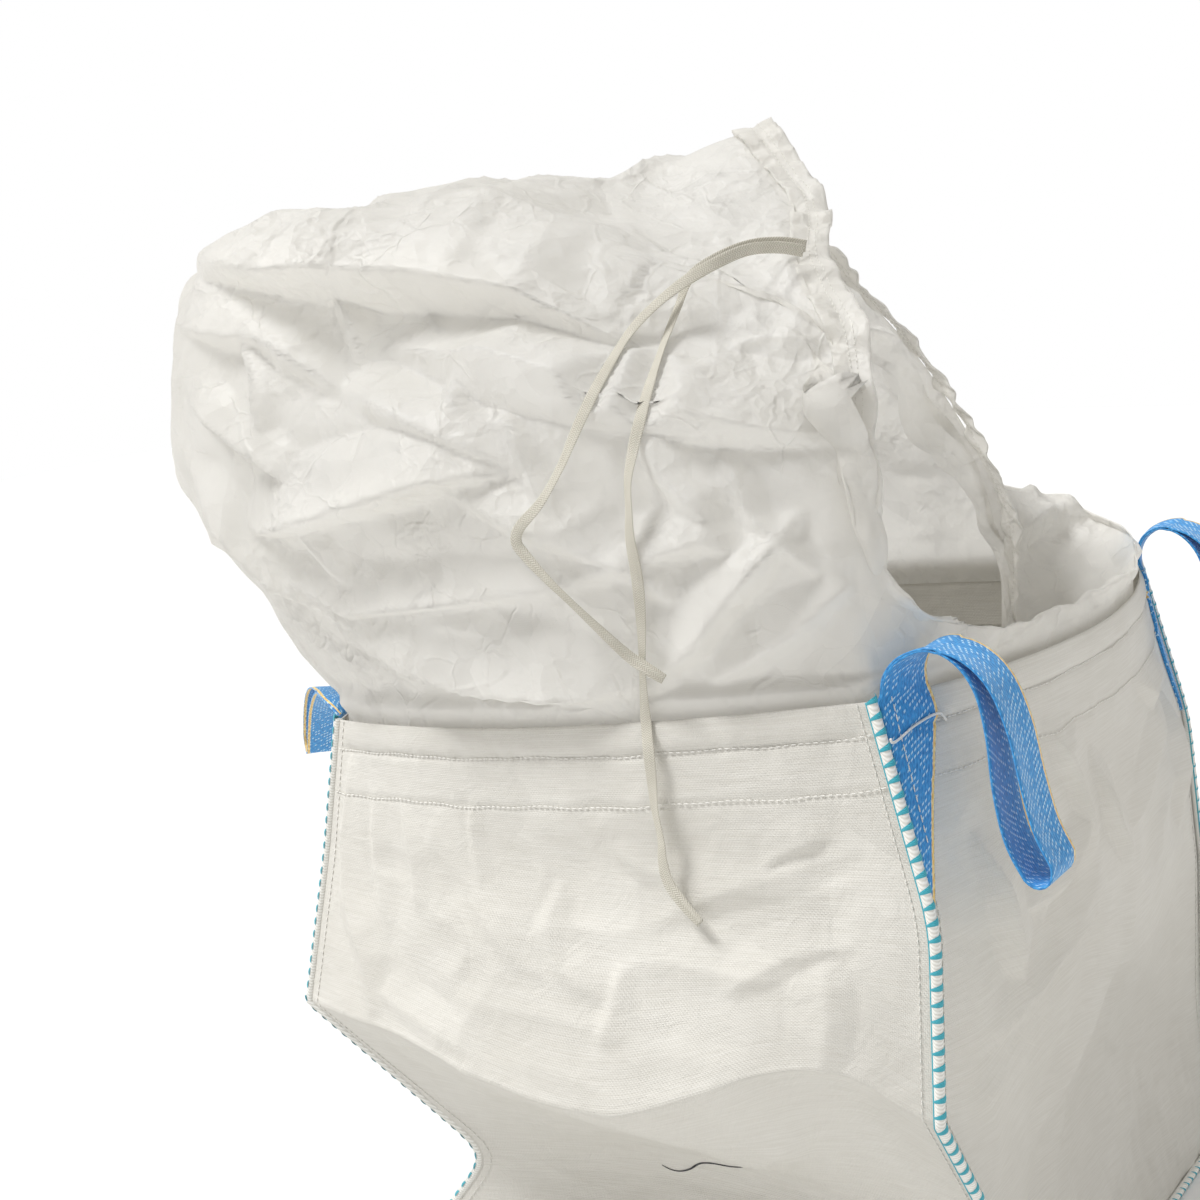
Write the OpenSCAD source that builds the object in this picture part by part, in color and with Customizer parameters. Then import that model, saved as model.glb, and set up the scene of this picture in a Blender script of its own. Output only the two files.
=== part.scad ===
// Bulk bag of woven polypropylene: four side panels on a square base, a long
// duffle skirt that hangs open to the right, and a webbing lift loop in each corner seam.
// Millimetres. The front faces -Y, +X is to the right, Z is up, the base lies on the floor.

/* [Fabric] */

// Thickness of a side panel
panel_thickness = 2.4; // [1:0.2:4]
// Thickness of the base panel
base_thickness = 2.4; // [1:0.2:4]
// Thickness of the thin skirt fabric
skirt_thickness = 1.4; // [0.8:0.2:3]
// Clear gap between one fabric layer and the next
layer_gap = 0.5; // [0.3:0.1:1]
// Depth of the hem turned to the inside at the top of the panels
hem_depth = 0.45; // [0.2:0.05:0.6]

/* [Seams] */

// How far a corner seam stands out from the corner
seam_width = 10; // [6:1:16]
// Thickness of the folded fabric and filler cord in a seam
seam_thickness = 5; // [3:0.5:7]
// Thickness of the overlock thread along the seam's edge
thread_thickness = 2.2; // [1.5:0.1:3]
// How far a panel's edge stops short of the corner
corner_margin = 6; // [5:0.5:8]
// How far the base panel's edge stops short of the side panels
base_margin = 8; // [6:0.5:12]

/* [Lift loops] */

// Width of the loop webbing
webbing_width = 66; // [50:1:80]
// Thickness of the loop webbing
webbing_thickness = 2; // [1.6:0.2:4]
// Distance from a corner seam to the webbing
webbing_setback = 8; // [6:1:14]

/* [Skirt hem and tie tape] */

// Width of the ruffled hem round the skirt's mouth
skirt_hem_width = 45; // [30:1:60]
// Thickness of the doubled skirt hem
skirt_hem_thickness = 4; // [2:0.5:6]
// Width of the tie tape
tape_width = 13; // [8:1:20]
// Thickness of the tie tape
tape_thickness = 2; // [1.4:0.2:3]

/* [Hidden] */

// The bag's outline at each level: its corners front left, front right, back right,
// back left, then how far the front, right, back and left sides bow outwards.
base_corners = [[-415, -420, 0], [420, -425, 0], [425, 415, 0], [-415, 415, 0]];
base_bow = [0, 0, 0, 0];
fold_corners = [[-265, -370, 200], [440, -385, 235], [430, 350, 240], [-275, 345, 205]];
fold_bow = [-60, -45, -55, -70];
crease_corners = [[-480, -440, 405], [420, -495, 430], [415, 405, 425], [-480, 405, 410]];
crease_bow = [75, 25, 55, 60];
waist_corners = [[-455, -400, 600], [415, -470, 635], [405, 390, 630], [-455, 385, 605]];
waist_bow = [60, 45, 55, 55];
hem_corners = [[-435, -375, 768], [345, -440, 858], [350, 375, 850], [-435, 365, 790]];
hem_bow = [72, 95, 70, 65];

level_corners = [base_corners, fold_corners, crease_corners, waist_corners, hem_corners];
level_bow = [base_bow, fold_bow, crease_bow, waist_bow, hem_bow];
top_level = 4;
side_columns = 16;
rows_per_level = 3;
front = 0;
right = 1;
back = 2;
left = 3;

// The skirt's shape: rings of sixteen points round the tube, four to a side, starting
// at the front left corner. The first lies just above the hem, the last is the mouth.
skirt_low = [
  [-520, -400, 915], [-300, -490, 945], [-75, -525, 975], [140, -505, 980],
  [335, -432, 960], [415, -290, 905], [430, -60, 885], [420, 160, 885],
  [335, 350, 905], [150, 430, 940], [-80, 460, 955], [-290, 440, 945],
  [-465, 385, 925], [-510, 200, 930], [-520, -10, 935], [-510, -230, 930],
];
skirt_bulge = [
  [-665, -400, 1130], [-440, -500, 1150], [-180, -525, 1165], [90, -495, 1150],
  [330, -420, 1065], [365, -310, 830], [370, -90, 790], [365, 130, 790],
  [310, 310, 850], [140, 410, 980], [-80, 445, 1090], [-330, 425, 1130],
  [-545, 345, 1120], [-650, 160, 1110], [-700, -50, 1115], [-700, -240, 1125],
];
skirt_shoulder = [
  [-505, -445, 1345], [-300, -452, 1328], [-70, -425, 1262], [150, -400, 1208],
  [325, -405, 1150], [335, -350, 880], [310, -190, 730], [300, 80, 700],
  [275, 240, 800], [150, 330, 980], [-20, 400, 1110], [-280, 390, 1290],
  [-500, 290, 1310], [-610, 120, 1325], [-680, -70, 1335], [-690, -270, 1345],
];
skirt_roof = [
  [-240, -340, 1398], [-110, -365, 1375], [40, -370, 1325], [210, -365, 1255],
  [335, -395, 1195], [345, -385, 960], [300, -310, 840], [250, -80, 660],
  [240, 120, 700], [210, 240, 870], [130, 270, 1030], [-60, 330, 1230],
  [-240, 240, 1360], [-330, 100, 1398], [-350, -60, 1408], [-320, -220, 1408],
];
skirt_neck = [
  [0, -280, 1380], [90, -320, 1345], [180, -345, 1300], [285, -375, 1235],
  [345, -397, 1165], [347, -395, 1000], [300, -345, 900], [238, -180, 690],
  [225, 60, 660], [235, 215, 830], [190, 250, 985], [50, 290, 1170],
  [-80, 230, 1315], [-120, 90, 1380], [-120, -50, 1405], [-90, -180, 1408],
];
skirt_mouth = [
  [193, -170, 1375], [225, -222, 1340], [252, -275, 1309], [329, -365, 1226],
  [350, -395, 1132], [347, -400, 1040], [294, -370, 948], [225, -250, 740],
  [215, 20, 640], [250, 190, 800], [238, 230, 941], [132, 262, 1115],
  [31, 200, 1279], [32, 80, 1359], [60, -20, 1425], [95, -100, 1455],
];
skirt_keys = 16;
points_per_key = 3;
skirt_columns = skirt_keys * points_per_key;
rows_per_ring = 2;
tuck_below_hem = 30;
rise_over_hem = 6;

// A loop's shape seen along its webbing: distance out from the panel and height above
// the hem, then half the gap between its two strands at each of those points.
hanging_spine = [
  [0, 0], [2, 24], [16, 44], [42, 54], [72, 44],
  [96, 16], [110, -30], [118, -85], [130, -135], [148, -170],
];
reaching_spine = [
  [0, 0], [9, 9], [29, 13], [62, 13], [98, 7],
  [138, -5], [182, -23], [225, -48], [262, -78], [294, -110],
];
loop_half_gap = [1.2, 1.2, 1.2, 1.2, 5, 9, 12, 14, 15, 15];
bend_point = 3;
bend_clearance = 0.4;
tip_steps = 6;
leg_bottom_level = 3.02;
leg_gap = 1;
leg_top_level = 3.995;

// The two ends of the tie tape, from where they leave the skirt's hem.
long_route = [
  [230, -294, 1318], [210, -314, 1324], [184, -334, 1324], [160, -362, 1314],
  [132, -376, 1296], [120, -384, 1268], [112, -404, 1234], [120, -452, 1196],
  [126, -490, 1158], [122, -502, 1128], [118, -510, 1098], [120, -516, 1068],
  [120, -518, 1038], [124, -518, 1004], [124, -516, 972], [118, -508, 936],
  [112, -502, 902], [104, -492, 866], [100, -486, 834], [108, -498, 804],
  [110, -500, 772], [112, -502, 740], [118, -504, 706], [118, -504, 682],
  [124, -506, 660], [142, -508, 638], [162, -508, 618],
];
short_route = [
  [240, -320, 1314], [220, -338, 1320], [194, -362, 1320], [166, -386, 1308],
  [128, -390, 1290], [98, -402, 1268], [78, -420, 1244], [74, -462, 1212],
  [72, -498, 1182], [64, -522, 1148], [50, -534, 1114], [30, -546, 1080],
  [2, -548, 1054], [-4, -548, 1038], [4, -546, 1024], [28, -544, 998],
  [52, -540, 974], [78, -530, 944], [104, -516, 912], [124, -512, 898],
  [140, -506, 886],
];

function unit(v) = v / norm(v);

function mix(a, b, t) = a * (1 - t) + b * t;

function wrap(i, n) = ((i % n) + n) % n;

// Point part way along one side at a whole level
function level_point(side, s, level) =
  let (
    a = level_corners[level][side],
    b = level_corners[level][(side + 1) % 4],
    out = unit([b.y - a.y, a.x - b.x, 0])
  )
  mix(a, b, s) + out * level_bow[level][side] * 4 * s * (1 - s);

// Point on the panel's outside, s along the side and h levels up
function panel_point(side, s, h) =
  let (low = min(floor(h), top_level - 1))
  mix(level_point(side, s, low), level_point(side, s, low + 1), h - low);

function along_side(side, s, h) =
  unit(panel_point(side, s + 0.01, h) - panel_point(side, s - 0.01, h));

function up_panel(side, s, h) =
  unit(panel_point(side, s, h) - panel_point(side, s, h - 0.02));

function side_length(side, h) =
  let (low = min(floor(h), top_level - 1))
  norm(panel_point(side, 1, h) - panel_point(side, 0, h));

function panel_grid(side, s0, s1, columns, heights) = [
  for (h = heights) [
    for (i = [0:columns]) panel_point(side, mix(s0, s1, i / columns), h),
  ],
];

function cell_normal(grid, r, c, closed) =
  let (
    rows = len(grid),
    columns = len(grid[0]),
    before = closed ? wrap(c - 1, columns) : max(c - 1, 0),
    after = closed ? wrap(c + 1, columns) : min(c + 1, columns - 1),
    across = grid[r][after] - grid[r][before],
    up = grid[min(r + 1, rows - 1)][c] - grid[max(r - 1, 0)][c]
  )
  unit(cross(across, up));

function offset_grid(grid, distance, closed) = [
  for (r = [0:len(grid) - 1]) [
    for (c = [0:len(grid[0]) - 1])
      settled(grid[r][c] + cell_normal(grid, r, c, closed) * distance),
  ],
];

// Fabric that would dip under the floor lies on it instead
function settled(p) = [p.x, p.y, max(p.z, 0)];

function flat(rows) = [for (row = rows) for (p = row) p];

// A skin between two distances from a grid of points, distances measured outwards
module skin(grid, outer, inner, closed = false) {
  rows = len(grid);
  columns = len(grid[0]);
  count = rows * columns;
  spans = closed ? columns : columns - 1;
  outside = flat(offset_grid(grid, outer, closed));
  inside = flat(offset_grid(grid, inner, closed));
  function at(r, c) = r * columns + c % columns;
  outer_faces = [
    for (r = [0:rows - 2])
      for (c = [0:spans - 1])
        each [
          [at(r, c), at(r + 1, c), at(r + 1, c + 1)],
          [at(r, c), at(r + 1, c + 1), at(r, c + 1)],
        ],
  ];
  inner_faces = [for (f = outer_faces) [f[2] + count, f[1] + count, f[0] + count]];
  bottom_faces = [
    for (c = [0:spans - 1])
      each [
        [at(0, c), at(0, c + 1), at(0, c + 1) + count],
        [at(0, c), at(0, c + 1) + count, at(0, c) + count],
      ],
  ];
  top = rows - 1;
  top_faces = [
    for (c = [0:spans - 1])
      each [
        [at(top, c), at(top, c) + count, at(top, c + 1) + count],
        [at(top, c), at(top, c + 1) + count, at(top, c + 1)],
      ],
  ];
  end = columns - 1;
  start_faces = closed ? [] : [
    for (r = [0:rows - 2])
      each [
        [at(r, 0), at(r, 0) + count, at(r + 1, 0) + count],
        [at(r, 0), at(r + 1, 0) + count, at(r + 1, 0)],
      ],
  ];
  end_faces = closed ? [] : [
    for (r = [0:rows - 2])
      each [
        [at(r, end), at(r + 1, end), at(r + 1, end) + count],
        [at(r, end), at(r + 1, end) + count, at(r, end) + count],
      ],
  ];
  faces = concat(outer_faces, inner_faces, bottom_faces, top_faces, start_faces, end_faces);
  polyhedron(points = concat(outside, inside), faces = faces, convexity = 12);
}

// A flat strip swept through stations of [centre, width direction, thickness direction]
module strip(stations, width, thickness) {
  count = len(stations);
  points = [
    for (s = stations)
      each [
        s[0] - s[1] * width / 2 - s[2] * thickness / 2,
        s[0] + s[1] * width / 2 - s[2] * thickness / 2,
        s[0] + s[1] * width / 2 + s[2] * thickness / 2,
        s[0] - s[1] * width / 2 + s[2] * thickness / 2,
      ],
  ];
  walls = [
    for (i = [0:count - 2])
      for (k = [0:3])
        each [
          [4 * i + k, 4 * i + (k + 1) % 4, 4 * i + 4 + (k + 1) % 4],
          [4 * i + k, 4 * i + 4 + (k + 1) % 4, 4 * i + 4 + k],
        ],
  ];
  last = 4 * (count - 1);
  ends = [[0, 3, 2], [0, 2, 1], [last, last + 1, last + 2], [last, last + 2, last + 3]];
  polyhedron(points = points, faces = concat(walls, ends), convexity = 8);
}

level_steps = [for (i = [0:rows_per_level * top_level]) i / rows_per_level];

module panel(side) {
  margin = corner_margin / side_length(side, 2);
  skin(panel_grid(side, margin, 1 - margin, side_columns, level_steps), 0, -panel_thickness);
}

module base_panel() {
  color([0.88, 0.87, 0.83])
    linear_extrude(base_thickness)
      offset(delta = -base_margin)
        polygon([for (p = base_corners) [p.x, p.y]]);
}

module front_panel() {
  color([0.90, 0.89, 0.85]) panel(front);
}

module right_panel() {
  color([0.90, 0.89, 0.85]) panel(right);
}

module back_panel() {
  color([0.90, 0.89, 0.85]) panel(back);
}

module left_panel() {
  color([0.90, 0.89, 0.85]) panel(left);
}

// The turned-in hem, one run of it inside each panel
module top_hem() {
  outer = -panel_thickness - 2 * layer_gap;
  margin = 14 / side_length(front, top_level);
  heights = [top_level - hem_depth, top_level - hem_depth / 2, top_level];
  color([0.86, 0.85, 0.81])
    for (side = [front, right, back, left])
      skin(
        panel_grid(side, margin, 1 - margin, side_columns, heights),
        outer,
        outer - skirt_thickness
      );
}

module base_outline(grow) {
  offset(delta = grow)
    polygon([for (p = base_corners) [p.x, p.y]]);
}

module base_seam() {
  color([0.93, 0.93, 0.90])
    linear_extrude(seam_thickness)
      difference() {
        base_outline(seam_width + layer_gap);
        base_outline(layer_gap);
      }
}

module base_overlock() {
  inner = seam_width + 2 * layer_gap;
  color([0.25, 0.70, 0.78])
    translate([0, 0, (seam_thickness - thread_thickness) / 2])
      linear_extrude(thread_thickness)
        difference() {
          base_outline(inner + thread_thickness);
          base_outline(inner);
        }
}

function corner_point(corner, h) = panel_point(corner, 0, h);

// Outward direction in plan at a corner
function corner_out(corner) =
  unit([[-1, -1, 0], [1, -1, 0], [1, 1, 0], [-1, 1, 0]][corner]);

seam_heights = [
  for (i = [0:rows_per_level * top_level])
    i == 0 ? 0.04 : i / rows_per_level,
];

function seam_stations(corner, outwards) = [
  for (i = [0:len(seam_heights) - 1])
    let (
      h = seam_heights[i],
      below = corner_point(corner, max(h - 0.05, 0)),
      above = corner_point(corner, min(h + 0.05, top_level)),
      run = unit(above - below),
      across = unit(cross(run, corner_out(corner))),
      out = unit(cross(across, run))
    )
    [corner_point(corner, h) + out * outwards, out, across],
];

module corner_seam(corner) {
  depth = 1.5;
  color([0.93, 0.93, 0.90])
    strip(seam_stations(corner, (seam_width - depth) / 2), seam_width + depth, seam_thickness);
}

module corner_overlock(corner) {
  outwards = seam_width + layer_gap + thread_thickness / 2;
  color([0.25, 0.70, 0.78])
    strip(seam_stations(corner, outwards), thread_thickness, seam_thickness);
}

module seam_front_left() {
  corner_seam(front);
}

module seam_front_right() {
  corner_seam(right);
}

module seam_back_right() {
  corner_seam(back);
}

module seam_back_left() {
  corner_seam(left);
}

module overlock_front_left() {
  corner_overlock(front);
}

module overlock_front_right() {
  corner_overlock(right);
}

module overlock_back_right() {
  corner_overlock(back);
}

module overlock_back_left() {
  corner_overlock(left);
}

// Where a loop's webbing starts and stops along a side; at_start picks the corner
function webbing_span(side, at_start) =
  let (
    length = side_length(side, top_level),
    near = webbing_setback / length,
    far = (webbing_setback + webbing_width) / length
  )
  at_start ? [near, far] : [1 - far, 1 - near];

// Root of a loop, on the outside of its sewn leg at the hem
function loop_middle(side, at_start) =
  let (span = webbing_span(side, at_start))
  (span[0] + span[1]) / 2;

function loop_out(side, middle) =
  unit(cross(along_side(side, middle, top_level - 0.01), up_panel(side, middle, top_level)));

function loop_root(side, middle) =
  panel_point(side, middle, top_level)
    + loop_out(side, middle) * (leg_gap + webbing_thickness + 0.2);

// Place, width direction and run of each point along a loop that droops one way
function loop_frames(side, at_start, spine, droop) =
  let (
    middle = loop_middle(side, at_start),
    root = loop_root(side, middle),
    along = along_side(side, middle, top_level - 0.01),
    across_droop = unit(cross([0, 0, 1], droop)),
    places = [for (p = spine) root + droop * p[0] + [0, 0, p[1]]],
    last = len(spine) - 1
  )
  [
    for (i = [0:last])
      [
        places[i],
        unit(mix(along, across_droop, min(i / bend_point, 1))),
        i == 0
          ? up_panel(side, middle, top_level)
          : unit(places[min(i + 1, last)] - places[i - 1]),
      ],
  ];

function frame_normal(frame) = unit(cross(frame[1], frame[2]));

// The sewn leg on the panel and the doubled webbing up to where it bends over
module loop_leg(side, at_start, spine, droop) {
  span = webbing_span(side, at_start);
  steps = 6;
  doubled = 2 * webbing_thickness + 0.4;
  heights = [for (i = [0:steps]) mix(leg_bottom_level, leg_top_level, i / steps)];
  frames = loop_frames(side, at_start, spine, droop);
  rise = [
    for (i = [0:bend_point])
      let (
        frame = frames[i],
        back = i == bend_point ? bend_clearance : 0
      )
      [frame[0] - frame[2] * back, frame[1], frame_normal(frame)],
  ];
  color([0.12, 0.45, 0.80]) {
    skin(
      panel_grid(side, span[0], span[1], 3, heights),
      leg_gap + doubled,
      leg_gap
    );
    strip(rise, webbing_width, doubled);
  }
}

// Both free strands of a loop and the turn at its tip
module lift_loop(side, at_start, spine, droop) {
  frames = loop_frames(side, at_start, spine, droop);
  last = len(spine) - 1;
  function ahead(i) = i == bend_point ? frames[i][2] * bend_clearance : [0, 0, 0];
  function strand(i, way) =
    let (n = frame_normal(frames[i]))
    [frames[i][0] + ahead(i) + n * loop_half_gap[i] * way, frames[i][1], -n * way];
  outbound = [for (i = [bend_point:last]) strand(i, -1)];
  turn = [
    for (k = [1:tip_steps - 1])
      let (
        angle = 180 * k / tip_steps,
        n = frame_normal(frames[last]),
        arm = frames[last][2] * sin(angle) - n * cos(angle)
      )
      [frames[last][0] + arm * loop_half_gap[last], frames[last][1], -arm],
  ];
  inbound = [for (i = [last:-1:bend_point]) strand(i, 1)];
  color([0.12, 0.45, 0.80])
    strip(concat(outbound, turn, inbound), webbing_width, webbing_thickness);
}

module loop_leg_front_left() {
  loop_leg(left, false, reaching_spine, [-0.75, 0.66, 0]);
}

module lift_loop_front_left() {
  lift_loop(left, false, reaching_spine, [-0.75, 0.66, 0]);
}

module loop_leg_front_right() {
  loop_leg(right, true, hanging_spine, [1, 0, 0]);
}

module lift_loop_front_right() {
  lift_loop(right, true, hanging_spine, [1, 0, 0]);
}

module loop_leg_back_right() {
  loop_leg(right, false, hanging_spine, [1, 0, 0]);
}

module lift_loop_back_right() {
  lift_loop(right, false, hanging_spine, [1, 0, 0]);
}

module loop_leg_back_left() {
  loop_leg(left, true, reaching_spine, [-1, 0, 0]);
}

module lift_loop_back_left() {
  lift_loop(left, true, reaching_spine, [-1, 0, 0]);
}

// Where the skirt starts, inside the hem, at one of its columns
function skirt_foot(c, lift) =
  let (
    side = floor(c / skirt_columns * 4),
    s = c / skirt_columns * 4 - side,
    sewn = mix(0.012, 0.988, s),
    along = along_side(side, sewn, top_level - 0.01),
    out = unit([along.y, -along.x, 0])
  )
  level_point(side, sewn, top_level)
    - out * (panel_thickness + 3 * layer_gap + 3 * skirt_thickness)
    + [0, 0, lift];

// Smooth curve through four points, t from the second to the third
function curve(a, b, c, d, t) =
  0.5 * (2 * b + (c - a) * t + (2 * a - 5 * b + 4 * c - d) * t * t
  + (3 * b - a - 3 * c + d) * t * t * t);

function ring_point(ring, c) =
  let (
    k = floor(c / points_per_key),
    t = c / points_per_key - k
  )
  curve(
    ring[wrap(k - 1, skirt_keys)],
    ring[wrap(k, skirt_keys)],
    ring[wrap(k + 1, skirt_keys)],
    ring[wrap(k + 2, skirt_keys)],
    t
  );

skirt_rings = [
  [for (c = [0:skirt_columns - 1]) skirt_foot(c, rise_over_hem)],
  [for (c = [0:skirt_columns - 1]) ring_point(skirt_low, c)],
  [for (c = [0:skirt_columns - 1]) ring_point(skirt_bulge, c)],
  [for (c = [0:skirt_columns - 1]) ring_point(skirt_shoulder, c)],
  [for (c = [0:skirt_columns - 1]) ring_point(skirt_roof, c)],
  [for (c = [0:skirt_columns - 1]) ring_point(skirt_neck, c)],
];
mouth_ring = [for (c = [0:skirt_columns - 1]) ring_point(skirt_mouth, c)];
last_ring = len(skirt_rings) - 1;

// Point on the mouth's edge, moved back towards the neck
function below_mouth(c, distance) =
  mouth_ring[c] + unit(skirt_rings[last_ring][c] - mouth_ring[c]) * distance;

function between_rings(i, c, t) =
  curve(
    skirt_rings[max(i - 1, 0)][c],
    skirt_rings[i][c],
    skirt_rings[i + 1][c],
    skirt_rings[min(i + 2, last_ring)][c],
    t
  );

skirt_grid = concat(
  [[for (c = [0:skirt_columns - 1]) skirt_foot(c, -tuck_below_hem)]],
  [
    for (i = [0:last_ring - 1])
      for (k = [0:rows_per_ring - 1])
        [for (c = [0:skirt_columns - 1]) between_rings(i, c, k / rows_per_ring)],
  ],
  [skirt_rings[last_ring]],
  [[for (c = [0:skirt_columns - 1]) below_mouth(c, skirt_hem_width + 3 * layer_gap)]]
);

module skirt() {
  color([0.96, 0.96, 0.95])
    skin(skirt_grid, skirt_thickness / 2, -skirt_thickness / 2, closed = true);
}

module skirt_hem() {
  hem_grid = [
    for (distance = [skirt_hem_width, skirt_hem_width / 2, 0])
      [for (c = [0:skirt_columns - 1]) below_mouth(c, distance)],
  ];
  color([0.93, 0.93, 0.91])
    skin(hem_grid, skirt_hem_thickness / 2, -skirt_hem_thickness / 2, closed = true);
}

// Stations of a tape that lies flat against the wall behind it
function tape_stations(route) = [
  for (i = [0:len(route) - 1])
    let (
      run = unit(route[min(i + 1, len(route) - 1)] - route[max(i - 1, 0)]),
      across = unit(cross(run, [0.1, 1, 0]))
    )
    [route[i], across, cross(run, across)],
];

module tie_tape_long() {
  color([0.90, 0.89, 0.84])
    strip(tape_stations(long_route), tape_width, tape_thickness);
}

module tie_tape_short() {
  color([0.90, 0.89, 0.84])
    strip(tape_stations(short_route), tape_width, tape_thickness);
}

base_panel();
front_panel();
right_panel();
back_panel();
left_panel();
top_hem();
base_seam();
base_overlock();
seam_front_left();
seam_front_right();
seam_back_right();
seam_back_left();
overlock_front_left();
overlock_front_right();
overlock_back_right();
overlock_back_left();
loop_leg_front_left();
loop_leg_front_right();
loop_leg_back_right();
loop_leg_back_left();
lift_loop_front_left();
lift_loop_front_right();
lift_loop_back_right();
lift_loop_back_left();
skirt();
skirt_hem();
tie_tape_long();
tie_tape_short();
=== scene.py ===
# An empty bulk bag of woven polypropylene that stands slumped on its square base: four side
# panels with a stitched hem, corner seams over a filler cord, four webbing lift loops and a
# long thin duffle skirt that has fallen open to the right.
import math

import bpy
import numpy as np
from mathutils import Matrix, Vector


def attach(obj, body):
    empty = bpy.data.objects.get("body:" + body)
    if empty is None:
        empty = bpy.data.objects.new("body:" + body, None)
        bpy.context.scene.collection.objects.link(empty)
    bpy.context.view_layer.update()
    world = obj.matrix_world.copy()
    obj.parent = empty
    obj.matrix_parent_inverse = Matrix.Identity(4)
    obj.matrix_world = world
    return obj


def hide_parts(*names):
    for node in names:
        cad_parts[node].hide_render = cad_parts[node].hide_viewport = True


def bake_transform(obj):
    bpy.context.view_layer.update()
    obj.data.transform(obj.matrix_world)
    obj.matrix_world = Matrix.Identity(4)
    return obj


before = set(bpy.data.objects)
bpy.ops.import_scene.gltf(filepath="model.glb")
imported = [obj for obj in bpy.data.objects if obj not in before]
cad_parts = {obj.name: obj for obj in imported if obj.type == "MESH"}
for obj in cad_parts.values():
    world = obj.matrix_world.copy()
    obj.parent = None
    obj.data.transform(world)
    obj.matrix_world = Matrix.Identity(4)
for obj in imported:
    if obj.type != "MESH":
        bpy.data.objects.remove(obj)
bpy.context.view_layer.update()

MM = 0.001
FRONT, RIGHT, BACK, LEFT = range(4)
CORNER_NAMES = ["front_left", "front_right", "back_right", "back_left"]
SIDE_NAMES = ["front", "right", "back", "left"]

# ---------------------------------------------------------------- driving sizes, in metres,
# but FOLD_EASE in levels and BASE_INSET_SHARE a share of the base's size
PANEL_WALL = 0.0014
SKIRT_HEM_WIDTH = 0.045
SKIRT_HEM_WALL = 0.003
WEBBING_WIDTH = 0.066
WEBBING_WALL = 0.002
WEBBING_SETBACK = 0.006
LEG_LENGTH = 0.218
LEG_TOP_GAP = 0.004
OUTER_LEG_LIFT = 0.0036
INNER_LEG_LIFT = 0.0014
LOOP_STANDOFF = 0.0032
WEBBING_CURL = 0.0012
WEBBING_SWAY = 0.0022
HEM_FIRST_STITCH = 0.036
HEM_SECOND_STITCH = 0.092
HEM_INNER_DEPTH = 0.0034
FOLD_EASE = 0.16
BASE_INSET_SHARE = 0.985
FILLER_STANDOFF = 0.0052
FILLER_HALF_WIDTH = 0.0060
FILLER_HALF_HEIGHT = 0.0050
EDGE_THREAD_RADIUS = 0.0009
BASE_SEAM_OUTWARDS = 0.0062
BASE_SEAM_HEIGHT = 0.0046
TAPE_WIDTH = 0.013
TAPE_WALL = 0.0016
TAPE_CLEARANCE = 0.003

# The bag's outline at each level: corners front left, front right, back right, back left,
# then how far the front, right, back and left sides bow outwards. In millimetres.
LEVELS = [
    ([(-415, -420, 0), (420, -425, 0), (425, 415, 0), (-415, 415, 0)], (0, 0, 0, 0)),
    ([(-265, -370, 200), (440, -385, 235), (430, 350, 240), (-275, 345, 205)], (-60, -45, -55, -70)),
    ([(-480, -440, 405), (420, -495, 430), (415, 405, 425), (-480, 405, 410)], (75, 25, 55, 60)),
    ([(-455, -400, 600), (415, -470, 635), (405, 390, 630), (-455, 385, 605)], (60, 45, 55, 55)),
    ([(-435, -375, 768), (345, -440, 858), (350, 375, 850), (-435, 365, 790)], (72, 95, 70, 65)),
]
TOP = len(LEVELS) - 1

# The skirt's rings of sixteen points, four to a side from the front left corner, in millimetres.
SKIRT_RINGS = [
    [(-520, -400, 915), (-300, -490, 945), (-75, -525, 975), (140, -505, 980),
     (335, -432, 960), (415, -290, 905), (430, -60, 885), (420, 160, 885),
     (335, 350, 905), (150, 430, 940), (-80, 460, 955), (-290, 440, 945),
     (-465, 385, 925), (-510, 200, 930), (-520, -10, 935), (-510, -230, 930)],
    [(-665, -400, 1130), (-440, -500, 1150), (-180, -525, 1165), (90, -495, 1150),
     (330, -420, 1065), (365, -310, 830), (370, -90, 790), (365, 130, 790),
     (310, 310, 850), (140, 410, 980), (-80, 445, 1090), (-330, 425, 1130),
     (-545, 345, 1120), (-650, 160, 1110), (-700, -50, 1115), (-700, -240, 1125)],
    [(-505, -445, 1345), (-300, -452, 1328), (-70, -425, 1262), (150, -400, 1208),
     (325, -405, 1150), (335, -350, 880), (310, -190, 730), (300, 80, 700),
     (275, 240, 800), (150, 330, 980), (-20, 400, 1110), (-280, 390, 1290),
     (-500, 290, 1310), (-610, 120, 1325), (-680, -70, 1335), (-690, -270, 1345)],
    [(-240, -340, 1398), (-110, -365, 1375), (40, -370, 1325), (210, -365, 1255),
     (316, -404, 1172), (338, -388, 965), (300, -310, 840), (250, -80, 660),
     (240, 120, 700), (210, 240, 870), (130, 270, 1030), (-60, 330, 1230),
     (-240, 240, 1360), (-330, 100, 1398), (-350, -60, 1408), (-320, -220, 1408)],
    [(0, -280, 1380), (90, -320, 1345), (180, -345, 1300), (285, -375, 1235),
     (316, -402, 1150), (326, -398, 1014), (300, -345, 900), (238, -180, 690),
     (225, 60, 660), (235, 215, 830), (190, 250, 985), (50, 290, 1170),
     (-80, 230, 1315), (-120, 90, 1380), (-120, -50, 1405), (-90, -180, 1408)],
]
SKIRT_MOUTH = [
    (193, -170, 1375), (225, -222, 1340), (252, -275, 1309), (329, -365, 1226),
    (350, -395, 1132), (347, -400, 1040), (294, -370, 948), (225, -250, 740),
    (215, 20, 640), (250, 190, 800), (238, 230, 941), (132, 262, 1115),
    (31, 200, 1279), (32, 80, 1359), (60, -20, 1425), (95, -100, 1455),
]
SKIRT_INSET = 0.0081
SKIRT_TUCK = 0.030

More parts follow.
